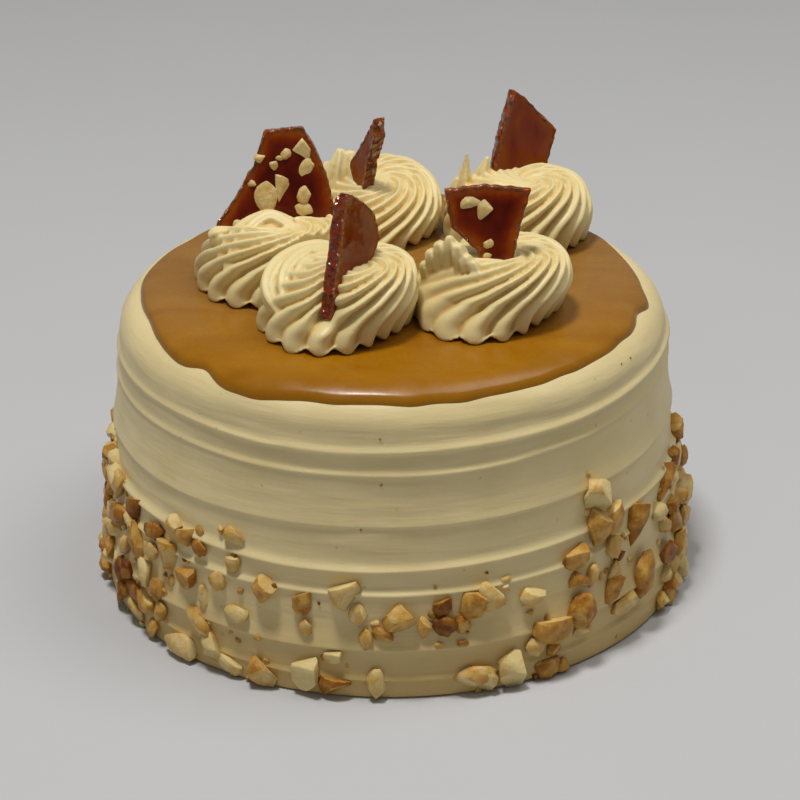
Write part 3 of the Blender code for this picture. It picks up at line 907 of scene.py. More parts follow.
# Passes that smooth away waves of about 2 mm, and the depth of a full groove, for the painted shade in the
# grooves
GROOVE_PASSES = 24
FULL_GROOVE = 0.45
print("rosettes", min(row[2] for row in ROSETTES) * 2, "to", max(row[2] for row in ROSETTES) * 2, "mm wide")


# %% Where rosettes touch, and where their grooves lie
def press_flat(points, middle, radius):
    """Keep a rosette on its own side of the flat where it touches each neighbour."""
    for _, other, other_radius, *_ in ROSETTES:
        gap = np.array(other) - np.array(middle)
        distance = float(np.hypot(*gap))
        if 0 < distance < radius + other_radius:
            towards = gap / distance
            flat = distance * radius / (radius + other_radius)
            beyond = (points[:, :2] - middle) @ towards - flat + FLATTENED
            # squeeze what is beyond, softly, into the last bit before the flat
            squeezed = FLATTENED * np.tanh(np.maximum(beyond, 0) / FLATTENED)
            points[:, :2] -= np.outer(np.maximum(beyond, 0) - squeezed, towards)
    return points


def mark_grooves(data):
    """Store how far each point lies below its surroundings of about 2 mm, from 0 to 1."""
    points = points_of(data)
    ends = np.empty(len(data.edges) * 2, np.int32)
    data.edges.foreach_get("vertices", ends)
    one, other = ends.reshape(-1, 2).T
    normals = np.empty(len(points) * 3, np.float32)
    data.vertex_normals.foreach_get("vector", normals)
    smoothed = points.copy()
    for _ in range(GROOVE_PASSES):
        total = np.zeros_like(points)
        for axis in range(3):
            total[:, axis] = np.bincount(one, smoothed[other, axis], len(points))
            total[:, axis] += np.bincount(other, smoothed[one, axis], len(points))
        smoothed = total / np.bincount(ends, minlength=len(points))[:, None]
    below = ((smoothed - points) * normals.reshape(-1, 3)).sum(1)
    # the buttercream paints shade into the grooves by this number
    store(data, "groove", soft_step(0.0, FULL_GROOVE, below))


def dented(points, middle):
    """Push the cream in along the line where a shard stands."""
    _, (low_x, low_z), (high_x, high_z), wide, deep = DENT
    line = low_x + (points[:, 2] - low_z) / (high_z - low_z) * (high_x - low_x)
    near = np.exp(-(((points[:, 0] - line) / wide) ** 2)) * (points[:, 1] < middle[1])
    points[:, 1] += deep * near * soft_step(low_z - 2.5, low_z + 1.5, points[:, 2])
    return points


# %% Pipe the rosettes
swirls = []
for name, middle, radius, height, dimple, first, spread, tuck, lean, smooth in ROSETTES:
    swirl = run_tree(name + "_swirl", bpy.data.meshes.new("rosette"), piped_rosette, {
        "Radius": (radius + WIDER) * MM, "Height": height * MM,
        "Shift X": dimple[0] * MM, "Shift Y": dimple[1] * MM, "Lean Y": lean,
        "Ridges": RIDGES, "Groove": GROOVE * MM, "Sweep": math.radians(SWEEP),
        "Curl": math.radians(CURL), "First": math.radians(first),
        "Foot Spread": spread, "Foot Tuck": tuck,
        "Smooth Side": smooth, "Cream": piped_cream,
    })
    points = points_of(swirl.data)
    points[:, :2] += middle
    points[:, 2] += SURFACE
    points += UNEVEN * np.stack([wander(points, (9, 9, 9), seed) for seed in (1.0, 31.0, 61.0)], 1)
    # the foot follows the caramel down where it reaches over the shoulder
    away = np.hypot(points[:, 0], points[:, 1])
    ground = top_height(away) + film(away) - PRESSED_IN
    above = soft_step(0.0, FOLLOWING, points[:, 2] - SURFACE)
    points[:, 2] = np.maximum(points[:, 2] - (1 - above) * (SURFACE - PRESSED_IN - ground), ground)
    if name == DENT[0]:
        points = dented(points, middle)
    set_points(swirl.data, press_flat(points, np.array(middle), radius))
    ridges, flute, lines = TAILS[name]
    tails = run_tree("tails", drawn_lines(lines), piped_tail, {
        "Ridges": ridges, "Flute": flute, "Cream": piped_cream})
    take_in(swirl, tails)
    melt(swirl, VOXEL, 2)
    mark_grooves(swirl.data)
    swirls.append(swirl)
    print(name, len(swirl.data.polygons), "faces")

# %% [markdown]
# ## Nut brittle
#
# Sugar cooked until it is a clear red brown, poured in a thin sheet over nuts and
# broken when cold. It breaks like glass: the faces are smooth and a little wavy, the
# edges are chipped and catch the light. Light gets through the thin edges, so they
# look amber while the middle is nearly black. The glow is painted by an attribute that
# holds how far a point is from the edge, because real transmission would need the
# finest tracing to stay clean.

# %% Brittle, the material
def cooked_sugar():
    material, tree, shader = new_material("cooked sugar brittle")
    place = add_node(tree, "ShaderNodeTexCoord").outputs["Object"]
    inside = add_node(tree, "ShaderNodeAttribute", attribute_name="inside")
    # darker and lighter clouds of 7 mm, drawn out upwards
    drawn = add_node(tree, "ShaderNodeMapping", {0: place, 3: (1.0, 1.0, 0.45)})
    cloud = add_node(tree, NOISE, {
        "Vector": drawn, "Scale": 1 / (7 * MM), "Detail": 3.0, "Distortion": 0.6})
    shifted = add_node(tree, MATH, {0: cloud, 1: 1.1, 2: -0.55}, operation="MULTIPLY_ADD")
    deep = add_node(tree, MATH, {0: inside.outputs["Fac"], 1: shifted}, operation="ADD")
    near = add_node(tree, RANGE, {0: deep, 1: 0.0, 2: 0.45, 3: 0.0, 4: 1.0})
    far = add_node(tree, RANGE, {0: deep, 1: 0.4, 2: 1.0, 3: 0.0, 4: 1.0})
    colour = painted(tree, linear("#8E4404"), ((near, "#7A2600"), (far, "#4E0A00")))
    # small waves on the faces, and on the broken rim round bowls of 2.4 mm that glint
    ripple = add_node(tree, NOISE, {"Vector": place, "Scale": 1 / (1.6 * MM), "Detail": 3.0})
    bowls = add_node(tree, "ShaderNodeTexVoronoi", {"Vector": place, "Scale": 1 / (2.4 * MM)})
    hollow = add_node(tree, MATH, {0: bowls, 1: 2.0}, operation="POWER")
    rim = add_node(tree, "ShaderNodeAttribute", attribute_name="rim").outputs["Fac"]
    carved = add_node(tree, MATH, {0: hollow, 1: rim}, operation="MULTIPLY")
    relief = add_node(tree, MATH, {0: carved, 1: 34.0, 2: ripple}, operation="MULTIPLY_ADD")
    bump = add_node(tree, BUMP, {"Strength": 1.0, "Distance": 0.06 * MM, "Height": relief})
    # the fresh break is smoother than the face, so its glints are sharp
    fresh = add_node(tree, MATH, {0: rim, 1: 0.6}, operation="MULTIPLY")
    feed(tree, shader, {
        "Base Color": colour, "Normal": bump, "Roughness": 0.09,
        "Coat Weight": fresh, "Coat Normal": bump, "Coat Roughness": 0.03,
        "IOR": 1.5, "Specular IOR Level": 0.22, "Subsurface Weight": 0.1,
        "Subsurface Radius": (1.0, 0.3, 0.05), "Subsurface Scale": 1.5 * MM})
    return material


brittle_sugar = cooked_sugar()
print("brittle mixed from", len(brittle_sugar.node_tree.nodes), "nodes")

# %% Outlines of the five shards
# Name, the point it stands on, turn about the vertical and lean backwards in degrees,
# outline right and up from that point, all in millimetres
SHARDS = (
    ("brittle_left", (-33.0, 1.0, 101.0), 0.0, 12.0, (
        (-13.9, -2.0), (-11.4, -5.6), (-5.0, -9.5), (9.0, -9.5), (18.6, -1.0), (16.1, 11.0),
        (13.2, 18.4), (9.8, 24.2), (-0.5, 23.2), (-3.4, 14.2), (-9.0, 5.0))),
    ("brittle_front", (-17.0, -48.0, 92.5), 58.0, 0.0, (
        (0.4, 0.0), (3.0, -2.2), (14.0, 2.0), (24.6, 13.5), (22.0, 21.0), (17.0, 26.0),
        (11.5, 29.8), (8.6, 29.0), (4.6, 15.6))),
    ("brittle_right", (27.0, -31.0, 100.0), 0.0, 12.0, (
        (-13.3, 19.2), (-11.6, 9.6), (-4.8, 3.2), (-2.8, -8.5), (2.6, -8.5), (5.9, 8.5),
        (9.0, 19.2), (-3.0, 20.4))),
    ("brittle_back_right", (33.0, 35.0, 100.0), 25.0, 0.0, (
        (-6.3, -2.0), (-3.6, -9.0), (9.0, -7.5), (11.9, 2.0), (14.4, 11.1), (4.2, 22.2),
        (0.8, 24.3), (-2.6, 13.4))),
    ("brittle_back", (-8.0, 31.0, 97.5), -58.0, 0.0, (
        (-4.0, 0.0), (-3.0, -7.0), (1.5, -7.0), (5.6, 8.6), (10.2, 18.0), (9.6, 23.6),
        (6.8, 19.8), (-0.6, 10.2), (-3.4, 7.2))),
)
# Thickness of the sheet, step and raggedness of the broken outline, height of the waves
# on its faces and of the scallops along its edge
SHEET = 3.6
CHIP = 0.9
RAGGED = 0.25
FACE_WAVES = 0.30
SCALLOPS = 0.22
SHARD_VOXEL = 0.4
# How dark the middle of each gets, and its broken side, by how much light comes through
DARKNESS = {"brittle_left": (0.92, 0.12), "brittle_front": (0.5, 0.42), "brittle_right": (0.95, 0.15),
            "brittle_back_right": (0.42, 0.2), "brittle_back": (0.0, 0.08)}
print(len(SHARDS), "shards of a sheet", SHEET, "mm thick")


# %% Helpers for broken sheets
def distance_to_outline(places, outline):
    """How far each place in the plane of a sheet is from its broken edge."""
    nearest = np.full(len(places), np.inf)
    for start, end in zip(outline, outline[1:] + outline[:1]):
        start, way = np.array(start), np.array(end) - np.array(start)
        share = np.clip((places - start) @ way / (way @ way), 0, 1)
        gap = places - (start + share[:, None] * way)
        nearest = np.minimum(nearest, np.hypot(gap[:, 0], gap[:, 1]))
    return nearest


def chipped(outline, seed):
    """The outline with a point every CHIP millimetres, each moved a little."""
    points = []
    for start, end in zip(outline, outline[1:] + outline[:1]):
        steps = max(2, round(math.dist(start, end) / CHIP))
        for step in range(steps):
            share = step / steps
            points.append([a + (b - a) * share for a, b in zip(start, end)])
    points = np.array(points)
    spots = np.stack([points[:, 0], points[:, 1], 0 * points[:, 0]], 1)
    moves = [wander(spots, (2.1, 2.1, 2.1), seed + shift) for shift in (0.0, 40.0)]
    return points + RAGGED * np.stack(moves, 1)


def standing_frame(foot, turn, lean):
    """The turn and the place of a shard, to go from its own frame to the cake's."""
    turned = Matrix.Rotation(math.radians(turn), 3, "Z") @ Matrix.Rotation(math.radians(-lean), 3, "X")
    return np.array(turned), np.array(foot)


# %% Break the shards
shards = []
for number, (name, foot, turn, lean, outline) in enumerate(SHARDS):
    rim = chipped(outline, 3.0 * number)
    count = len(rim)
    sheet = [(u, side * SHEET / 2, v) for side in (-1, 1) for u, v in rim]
    faces = [tuple(range(count)), tuple(range(2 * count - 1, count - 1, -1))]
    for i in range(count):
        j = (i + 1) % count
        faces.append((j, i, i + count, j + count))
    shard = mesh_object(name + "_shard", sheet, faces, brittle_sugar)
    melt(shard, SHARD_VOXEL, 2)
    points = points_of(shard.data)
    depth = distance_to_outline(points[:, [0, 2]], outline)
    # wavy faces, and scallops along the broken edge
    edge_share = 1 - soft_step(0.4, 2.2, depth)
    points[:, 1] += FACE_WAVES * wander(points, (6, 30, 6), 9.0 + number)
    for axis in range(3):
        points[:, axis] += SCALLOPS * edge_share * wander(points, (1.5, 1.5, 1.5), 20.0 * axis + number)
    # seen end on, the sheet is a long way through and dark; seen from its face it glows
    end_on = 1 - soft_step(SHEET / 2 - 0.8, SHEET / 2, np.abs(points[:, 1]))
    middle_dark, side_dark = DARKNESS[name]
    inside = np.maximum(middle_dark * soft_step(0.0, 5.0, depth), side_dark * end_on)
    store(shard.data, "inside", inside)
    store(shard.data, "rim", 1 - soft_step(0.3, 1.0, depth))
    turned, place = standing_frame(foot, turn, lean)
    set_points(shard.data, points @ turned.T + place)
    shards.append(shard)
    print(name, len(shard.data.polygons), "faces")

# %% [markdown]
# ## Chopped peanuts
#
# A blanched peanut splits into two halves about 12 mm long, and the knife leaves pieces
# of 3 to 9 mm with some round skin side and some flat cuts. A dozen of them, cut from a
# rounded half by random planes, are enough: each copy is stretched, turned and roasted
# differently. The copies are put in place by Geometry Nodes, which read the place, the
# facing and the size of each from a cloud of points.
#
# In front the pieces are few and every one counts, so they are listed as they lie.
# Round the sides and the back they are strewn, densest at the foot. The knife also
# leaves crumbs of 1 to 2 mm, which stick close to the larger pieces.

# %% Peanut, the material
def roasted_peanut():
    """Blanched, oil-roasted nut: dull and pale inside, brown with a slight shine of oil outside."""
    material, tree, shader = new_material("roasted peanut")
    place = add_node(tree, "ShaderNodeTexCoord").outputs["Object"]
    roast = add_node(tree, "ShaderNodeAttribute", attribute_name="roast")
    # each nut is browned in blotches of about 3 mm
    blotch = add_node(tree, NOISE, {
        "Vector": place, "Scale": 1 / (3.2 * MM), "Detail": 3.0, "Roughness": 0.6})
    shifted = add_node(tree, MATH, {0: blotch, 1: 1.0, 2: -0.5}, operation="MULTIPLY_ADD")
    brown = add_node(tree, MATH, {0: roast.outputs["Fac"], 1: shifted}, operation="ADD")
    # what the knife laid bare is paler than what the hot oil touched
    bare = add_node(tree, "ShaderNodeAttribute", attribute_name="bare")
    brown = add_node(tree, MATH, {0: bare.outputs["Fac"], 1: -0.22, 2: brown}, operation="MULTIPLY_ADD")
    colour = linear("#DCC68A")
    for low, high, code in ((0.0, 0.4, "#C89A48"), (0.4, 0.7, "#9C6418"), (0.75, 1.0, "#683606")):
        share = add_node(tree, RANGE, {0: brown, 1: low, 2: high, 3: 0.0, 4: 1.0})
        colour = painted(tree, colour, ((share, code),))
    # the break is crumbly: lumps of 2 mm with a fine grain on them
    grain = add_node(tree, NOISE, {
        "Vector": place, "Scale": 1 / (2.0 * MM), "Detail": 5.0, "Roughness": 0.65})
    feed(tree, shader, {
        "Base Color": colour, "Roughness": 0.38,
        "Normal": add_node(tree, BUMP, {"Strength": 0.6, "Distance": 0.8 * MM, "Height": grain}),
        "IOR": 1.47, "Specular IOR Level": 0.28, "Subsurface Weight": 0.12,
        "Subsurface Radius": (1.0, 0.6, 0.3), "Subsurface Scale": 0.8 * MM})
    return material


peanut = roasted_peanut()
print("peanut mixed from", len(peanut.node_tree.nodes), "nodes")

# %% How a piece is cut
KINDS = 12
BEVEL = 0.12
SHARP_FROM = math.radians(75)
ALONG = Vector((1.0, 0.618, 0.314))


def in_order(form):
    """Sort points, edges and faces along one line. A cut leaves them in a chance order,
    and a piece would come out a little different in each run."""
    form.verts.sort(key=lambda vertex: vertex.co.dot(ALONG))
    form.edges.sort(key=lambda edge: (edge.verts[0].co + edge.verts[1].co).dot(ALONG))
    form.faces.sort(key=lambda face: face.calc_center_median().dot(ALONG))


def chopped_nut(number):
    """Half a nut, cut two to four times, in a box of one by one by one."""
    draws = np.random.default_rng(100 + number)
    form = bmesh.new()
    bmesh.ops.create_uvsphere(form, u_segments=9, v_segments=6, radius=1.0)
    stretch = Vector(draws.uniform((0.8, 0.9, 1.1), (1.0, 1.2, 1.6)))
    for vertex in form.verts:
        swell = 1 + 0.26 * noise.noise(vertex.co * 1.2 + Vector((number, 0, 0)))
        swell += 0.22 * noise.noise(vertex.co * 2.9 + Vector((0, number, 5)))
        vertex.co = vertex.co * stretch * swell
    bare = form.faces.layers.float.new("bare")
    for cut in range(int(draws.integers(2, 5))):
        way = draws.normal(size=3)
        way = Vector(way / np.linalg.norm(way))
        bmesh.ops.bisect_plane(
            form, geom=form.verts[:] + form.edges[:] + form.faces[:], dist=1e-4,
            plane_co=way * float(draws.uniform(0.3, 0.72)), plane_no=way, clear_outer=True)
        in_order(form)
        filled = bmesh.ops.edgeloop_fill(form, edges=[edge for edge in form.edges if edge.is_boundary])
        for face in filled["faces"]:
            face[bare] = 1.0
    sharp = [edge for edge in form.edges if edge.calc_face_angle(0.0) > 0.7]
    bmesh.ops.bevel(
        form, geom=sharp, offset=BEVEL, segments=1, affect="EDGES", profile=0.5, clamp_overlap=True)
    in_order(form)
    bmesh.ops.remove_doubles(form, verts=form.verts[:], dist=0.02)
    bmesh.ops.recalc_face_normals(form, faces=form.faces[:])
    in_order(form)
    data = bpy.data.meshes.new("nut")
    form.to_mesh(data)
    form.free()
    places = np.array([vertex.co for vertex in data.vertices])
    low, high = places.min(0), places.max(0)
    data.vertices.foreach_set("co", ((places - (low + high) / 2) / (high - low)).ravel())
    data.shade_smooth()
    data.set_sharp_from_angle(angle=SHARP_FROM)
    data.materials.append(peanut)
    return data


# %% A dozen cut pieces
kinds = bpy.data.collections.new("nut kinds")
for number in range(KINDS):
    kinds.objects.link(bpy.data.objects.new("nut_%02d" % number, chopped_nut(number)))

# %% The strewing tree
def strewing_tree():
    """One of the kinds on every point, facing outwards, turned about that way and sized."""
    tree, given = new_tree("strewn pieces", {
        "Kinds": "NodeSocketCollection", "Rounding": 0, "Nut": "NodeSocketMaterial"})
    points = add_node(tree, "GeometryNodeMeshToPoints", {0: given["Geometry"]})
    wanted = {}
    for label, kind in (
            ("facing", "FLOAT_VECTOR"), ("size", "FLOAT_VECTOR"), ("spin", "FLOAT"), ("kind", "INT")):
        wanted[label] = add_node(tree, NAMED, {"Name": label}, data_type=kind)
    aligned = add_node(tree, "FunctionNodeAlignRotationToVector", {"Vector": wanted["facing"]}, axis="X")
    about = add_node(tree, "FunctionNodeAxisAngleToRotation", {"Axis": (1, 0, 0), "Angle": wanted["spin"]})
    turned = add_node(tree, "FunctionNodeRotateRotation", {
        "Rotation": aligned, "Rotate By": about}, rotation_space="LOCAL")
    pieces = add_node(tree, "GeometryNodeCollectionInfo", {
        "Collection": given["Kinds"], "Separate Children": True, "Reset Children": True})
    copies = add_node(tree, "GeometryNodeInstanceOnPoints", {
        "Points": points, "Instance": pieces, "Pick Instance": True, "Instance Index": wanted["kind"],
        "Rotation": turned, "Scale": wanted["size"]})
    rounded = add_node(tree, "GeometryNodeSubdivisionSurface", {0: copies, "Level": given["Rounding"]})
    return finish_tree(tree, rounded, given["Nut"])


strewn_pieces = strewing_tree()
print("strewing tree:", len(strewn_pieces.nodes), "nodes")


# %% Helper that strews
def strew(name, places, rounding=0):
    """Pieces at the places: x, y, z, facing x, y, z, thick, wide, high in millimetres,
    spin in degrees and roast from 0 to 1."""
    places = np.array(places, float)
    data = bpy.data.meshes.new(name)
    data.from_pydata((places[:, 0:3] * MM).tolist(), [], [])
    for label, kind, values in (
            ("facing", "FLOAT_VECTOR", places[:, 3:6]), ("size", "FLOAT_VECTOR", places[:, 6:9] * MM),
            ("spin", "FLOAT", np.radians(places[:, 9])), ("roast", "FLOAT", places[:, 10]),
            ("kind", "INT", np.arange(len(places)) * 7 % KINDS)):
        store(data, label, values, kind)
    thing = run_tree(name, data, strewn_pieces, {"Kinds": kinds, "Rounding": rounding, "Nut": peanut})
    for label in ("facing", "size", "spin", "kind"):
        if label in thing.data.attributes:
            thing.data.attributes.remove(thing.data.attributes[label])
    print(name, len(places), "pieces,", len(thing.data.polygons), "faces")
    return thing


# %% Where the nuts in front lie
# Seen from the front: direction in degrees, height, width, tallness, tilt in degrees, roast
FRONT_NUTS = (
    (-136.5, 37, 5, 5, 0, .3), (-133.5, 35.5, 5, 5, 0, .4), (-129.5, 34, 4.5, 4.5, 0, .7),
    (-121.8, 40.2, 6, 4.5, 0, .35), (-121.8, 32.5, 4.5, 4, 0, .35), (-125, 27, 4.5, 5, 0, .35),
    (-132.7, 24, 6.5, 6, 0, .7), (-137.5, 27.5, 5.5, 10, 20, .5), (-128.5, 20, 2.5, 7, 15, .2),
    (-120.8, 19, 7.5, 4.5, 0, .1), (-129, 12, 6, 10, 25, .35), (-126, 7, 5, 8, 30, .3),
    (-114.4, 28, 6.5, 7, 0, .45), (-107.3, 26, 4.5, 6.5, 0, .5), (-106.5, 19.5, 3.5, 4.5, 0, .35),
    (-115, 4.5, 8, 7.5, 0, .45), (-122.4, 1.5, 8, 3.5, -25, .1), (-134, 3, 10, 7, 0, .15),
    (-106.5, 6.5, 7, 9, 0, .15), (-98.8, 29.5, 8, 7, 30, .25), (-96.8, 24, 4.5, 5.5, 30, .25),
    (-95.4, 17.8, 3.5, 5.5, 0, .4), (-92.3, 19, 5, 4.5, 0, .6), (-89.3, 23, 7.5, 6.5, 35, .5),
    (-84.6, 20.5, 3.5, 5.5, 0, .45), (-81.3, 26, 4.5, 4.5, 0, .85), (-81, 21, 6, 5.5, 0, .95),
    (-77.5, 20.5, 4, 5.5, 0, .6), (-75.6, 25.3, 7, 7, -35, .5), (-72.5, 27, 6, 9, 35, .25),
    (-101.4, 12, 4.5, 3.5, 0, .2), (-101.2, 3.5, 8, 5.5, 0, .75), (-93.5, 3, 4.5, 8, 15, .2),
    (-75.8, 6, 9.5, 5, 0, .3), (-73.5, 1, 6, 6, -30, .15), (-68.8, 5.5, 6.5, 10, 0, .15),
    (-63.8, 24.5, 7, 5, 0, .2), (-60, 14, 11, 7.5, -20, .5), (-63.8, 10.5, 5, 5, 0, .2),
    (-59.5, 8, 4, 4, 0, .6), (-61, 2, 7, 5, 0, .6), (-57.8, 1, 3.5, 4, 0, .5),
    (-54, 31.5, 7, 6, 0, .7), (-53.3, 24, 6.5, 4.5, -40, .6), (-50, 24.5, 3.5, 6, 0, .25),
    (-53.6, 17, 7.5, 9, 0, .6), (-53, 10.5, 5, 4, 0, .45), (-48.3, 47, 8.5, 8, -35, .15),
    (-48, 38, 7, 10, 0, .5), (-44, 38, 6, 8, 0, .4), (-44, 30, 5, 6.5, 0, .25),
    (-41.8, 26, 4, 3, 0, 1.0), (-45, 18, 5, 8, -35, .55), (-44, 22, 4, 7, 0, .2),
    (-42, 12, 8, 5, 0, .5), (-35.5, 31.5, 7, 12, -10, .6), (-35.5, 17, 7, 12, 0, .55),
    (-18, 20, 5, 13, 40, .55), (-20.5, 10.5, 5, 10, -35, .55), (-21, 3.5, 7, 6, 0, .4),
    (-4, 21, 9, 12, 80, .4), (-5, 40, 7, 6, 0, .55), (-4, 31, 7, 6, 0, .6),
)
# A rounded piece does not fill its box, so the box is a little larger than what shows
BOX_OVER_PIECE = 1.12
FRONT_FROM, FRONT_TO = -140.0, -28.0
print(len(FRONT_NUTS), "nuts in front")

# %% Helpers that press nuts into the side
# Share of its thickness by which a piece is pressed in
SUNK = 0.32


def coat_radius(angle, height):
    """Radius of the finished coat in one direction, ledges and lumps included."""
    column = int(round(angle / 360 * COLUMNS)) % COLUMNS
    return float(np.interp(height, heights[::-1, column], radii[::-1, column]))


def on_the_side(angle, height, wide, high, tilt, roast, thick):
    """One row for strew: a piece pressed into the side of the coat."""
    # what lies at the foot rests on the surface the cake stands on
    lying = math.radians(tilt)
    height = max(height, 0.5 * (high * abs(math.cos(lying)) + wide * abs(math.sin(lying))))
    out = np.array([math.cos(math.radians(angle)), math.sin(math.radians(angle)), 0])
    middle = out * (coat_radius(angle, height) + thick * (0.5 - SUNK)) + (0, 0, height)
    return [*middle, *out, thick, wide, high, tilt, roast]


# %% Peanuts round the cake
PIECES = 290
# The usual gap between the middles of two, the heights between which they thin out, and
# the radius that turns degrees into a length along the side
GAP = 5.8
DENSE_BELOW, NONE_ABOVE = 25.0, 43.0
NEAR_RADIUS = 80
draws = np.random.default_rng(12)
nut_rows = []
taken = []
for angle, height, wide, high, tilt, roast in FRONT_NUTS:
    wide, high = wide * BOX_OVER_PIECE, high * BOX_OVER_PIECE
    nut_rows.append(on_the_side(angle, height, wide, high, tilt, roast, 0.60 * min(wide, high) + 0.6))
    taken.append((angle, height))
while len(nut_rows) < PIECES:
    angle = draws.uniform(FRONT_TO, 360 + FRONT_FROM)
    height = draws.uniform(1, NONE_ABOVE)
    wanted = 1 - soft_step(DENSE_BELOW, NONE_ABOVE, height)
    arc = NEAR_RADIUS * math.pi / 180
    near = min(math.hypot((angle - a + 180) % 360 * arc - 180 * arc, height - h) for a, h in taken)
    if draws.random() > wanted or near < GAP * draws.uniform(0.75, 1.3):
        continue
    long = draws.uniform(5.0, 9.5) if draws.random() < 0.9 else draws.uniform(9.5, 13)
    short = min(long, draws.uniform(4.4, 7.2))
    roast = float(np.clip(draws.normal(0.42, 0.24), 0.05, 1.0))
    tilt = draws.uniform(-90, 90)
    nut_rows.append(on_the_side(angle, height, short, long, tilt, roast, draws.uniform(3.2, 5.2)))
    taken.append((angle, height))
peanuts = strew("peanuts", nut_rows)

# %% Crumbs of peanut
CRUMBS = 300
# Dark flecks that lie alone on the bare cream: direction in degrees, height
FLECKS = ((-96.1, 46.9), (-92.3, 59.1), (-92.4, 71.2), (-36.2, 76.6), (-32.6, 76.5))
crumb_rows = [on_the_side(angle, height, 0.6, 0.7, 0, 0.6, 0.5) for angle, height in FLECKS]
for number in range(CRUMBS):
    angle, height = taken[int(draws.integers(len(taken)))]
    angle += math.degrees(draws.normal(0, 5.0) / NEAR_RADIUS)
    height = max(0.6, height + draws.normal(0, 4.0))
    size = draws.uniform(0.8, 2.2)
    roast = float(np.clip(draws.normal(0.4, 0.25), 0.05, 1.0))
    high = size * draws.uniform(1, 1.6)
    crumb_rows.append(on_the_side(angle, height, size, high, draws.uniform(-90, 90), roast, size * 0.8))
crumbs = strew("peanut_crumbs", crumb_rows)

# %% Nuts in the brittle
# Shard, place right and up on its face, width, tallness and tilt; the sheet is no
# thicker than the nuts, so that each shows on the other face as well
BRITTLE_NUTS = (
    ("brittle_left", -1.6, 16.0, 3.6, 3.2, 0), ("brittle_left", 5.3, 17.0, 3.6, 3.0, 20),
    ("brittle_left", -0.2, 5.2, 7.4, 9.8, -12), ("brittle_left", 11.0, 12.6, 6.6, 7.6, -30),
    ("brittle_left", 2.0, 13.8, 3.2, 2.6, 0), ("brittle_left", -4.0, 9.2, 2.4, 2.2, 0),
    ("brittle_left", 9.4, 17.9, 5.2, 6.6, 25), ("brittle_left", 4.2, 6.2, 5.0, 11.4, -8),
    ("brittle_left", 10.0, 5.8, 5.4, 5.2, 30), ("brittle_left", 9.2, 2.2, 7.2, 4.6, -25),
    ("brittle_left", 3.6, 15.6, 2.6, 3.0, 30), ("brittle_right", -6.4, 15.8, 7.0, 4.6, 8),
    ("brittle_right", -2.8, 14.2, 4.6, 6.8, -30), ("brittle_right", -2.0, 5.2, 3.2, 2.6, 0),
    ("brittle_right", -2.4, 2.0, 2.6, 2.2, 0),
)
# How thick they are, how deep their middles lie under the face, and their roast
NUT_THICK = 2.8
NUT_DEEP = 0.6
NUT_ROAST = 0.12
nuts_in_sugar = []
for side in (-1, 1):
    for owner, right, up, wide, high, tilt in BRITTLE_NUTS:
        _, foot, turn, lean, _ = next(shard for shard in SHARDS if shard[0] == owner)
        turned, place = standing_frame(foot, turn, lean)
        out = turned @ (0, side, 0)
        middle = turned @ (right, side * (SHEET / 2 - NUT_DEEP), up) + place
        nuts_in_sugar.append([*middle, *out, NUT_THICK, wide, high, -side * tilt, NUT_ROAST])
# few and in full sight, so these are rounded once more
brittle_nuts = strew("brittle_nuts", nuts_in_sugar, 1)
if "sharp_edge" in brittle_nuts.data.attributes:
    brittle_nuts.data.attributes.remove(brittle_nuts.data.attributes["sharp_edge"])
for thing in kinds.objects[:]:
    bpy.data.objects.remove(thing)
bpy.data.collections.remove(kinds)

# %% [markdown]
# ## Floor, light and camera
#
# The cake stands on a plain pale floor in a light grey room. The key lamp hangs almost
# straight overhead, which leaves the side in soft shade and draws every ledge, a wide
# second lamp opens the shadows, and a small window in front puts glints on the sugar.

# %% Floor
def matt_paper():
    """Uncoated paper: dull all over, with clouds of 90 mm that can just be seen."""
    material, tree, shader = new_material("matt paper")
    place = add_node(tree, "ShaderNodeTexCoord").outputs["Object"]
    fibre = add_node(tree, NOISE, {"Vector": place, "Scale": 1 / (90 * MM), "Detail": 5.0})
    paper = add_node(tree, MIX, {0: fibre, 6: linear("#BBBCBF"), 7: linear("#BFC0C3")}, data_type="RGBA")
    feed(tree, shader, {"Base Color": paper.outputs[2], "Roughness": 0.8})
    return material


FLOOR_HALF = 4000
corners = [(x * FLOOR_HALF, y * FLOOR_HALF, 0) for x, y in ((-1, -1), (1, -1), (1, 1), (-1, 1))]
floor = mesh_object("floor", corners, [(0, 1, 2, 3)], matt_paper())
print("floor:", 2 * FLOOR_HALF * MM, "m across")

# %% Light
def soft_lamp(name, place, target, size, power, colour):
    data = bpy.data.lights.new(name, "AREA")
    data.shape = "DISK"
    data.size = size
    data.energy = power
    data.color = linear(colour)[:3]
    lamp = new_object(name, data)
    lamp.location = place
    lamp.rotation_euler = (Vector(target) - Vector(place)).to_track_quat("-Z", "Y").to_euler()


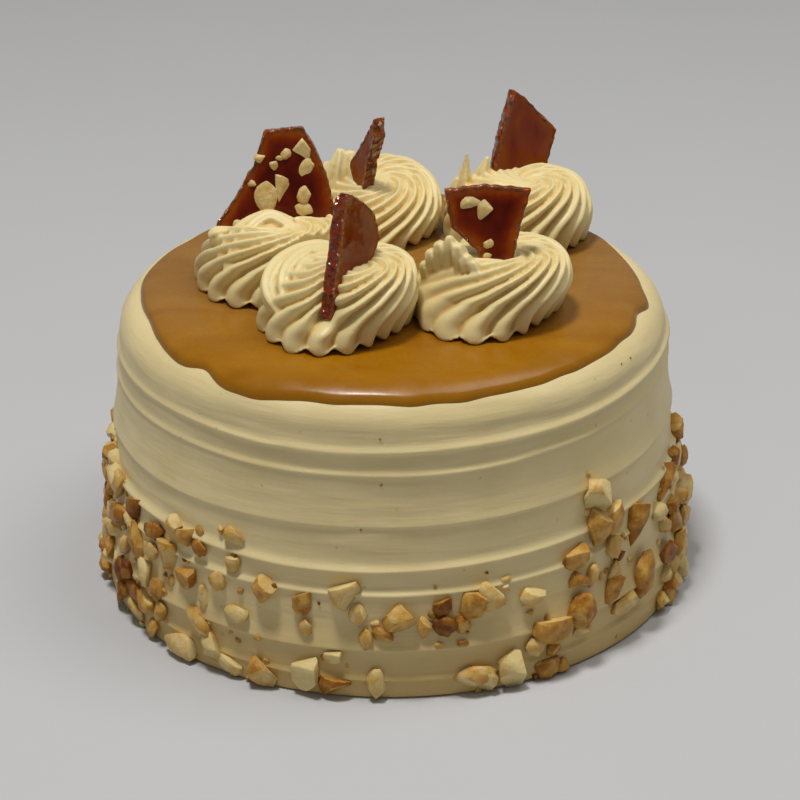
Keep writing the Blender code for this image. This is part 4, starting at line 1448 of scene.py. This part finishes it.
# Place and target in metres, width in metres, power in watts
LAMP_WHITE = "#FFFDFA"
LAMPS = (
    ("key", (-0.18, -0.18, 1.37), (0, 0, 0.05), 0.26, 12.2),
    ("second", (0.50, 0.05, 1.25), (0, 0, 0.05), 0.7, 4.4),
    ("window", (-0.42, -1.05, 0.95), (0, 0, 0.08), 0.08, 0.25),
)
for name, place, target, size, power in LAMPS:
    soft_lamp(name, place, target, size, power, LAMP_WHITE)
world = bpy.data.worlds.new("grey room")
world.use_nodes = True
sky = world.node_tree.nodes["Background"]
sky.inputs["Color"].default_value = linear("#F0ECE4")
sky.inputs["Strength"].default_value = 0.22
bpy.context.scene.world = world
print(len(LAMPS), "lamps of", sum(row[4] for row in LAMPS), "watts in all")

# %% Camera
# The photograph was taken from 25.5 degrees above, about 0.7 m away, with a long lens
AIM = Vector((1.9, 5.7, 43.7)) * MM
DISTANCE = 699.8 * MM
ELEVATION = math.radians(25.55)
ROLL = math.radians(-0.65)
LENS = 112.5
camera_data = bpy.data.cameras.new("camera")
camera_data.lens = LENS
camera_data.sensor_width = 36.0
camera_data.clip_start = 0.05
camera_data.clip_end = 20.0
camera = new_object("camera", camera_data)
back = Vector((0, -math.cos(ELEVATION), math.sin(ELEVATION)))
tilt = Matrix.Rotation(math.pi / 2 - ELEVATION, 4, "X") @ Matrix.Rotation(ROLL, 4, "Z")
camera.matrix_world = Matrix.Translation(AIM + back * DISTANCE) @ tilt
bpy.context.scene.camera = camera
bpy.context.scene.view_settings.view_transform = "Standard"
print("camera", round(DISTANCE, 2), "m away with a lens of", LENS, "mm")

# %% [markdown]
# ## Hand over
#
# The cake is one body, so every piece rides on it. The coat, the caramel, the rosettes
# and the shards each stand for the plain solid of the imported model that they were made
# round. The nuts stand for nothing: they are toppings on it.

# %% Ride, replace and finish
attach(frosting, "root")
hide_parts("frosted_cake")
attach(glaze, "root")
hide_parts("caramel_glaze")
for (name, *_), swirl in zip(ROSETTES, swirls):
    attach(swirl, "root")
    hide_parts(name)
for (name, *_), shard in zip(SHARDS, shards):
    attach(shard, "root")
    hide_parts(name)
for nuts in (peanuts, crumbs, brittle_nuts):
    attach(nuts, "root")
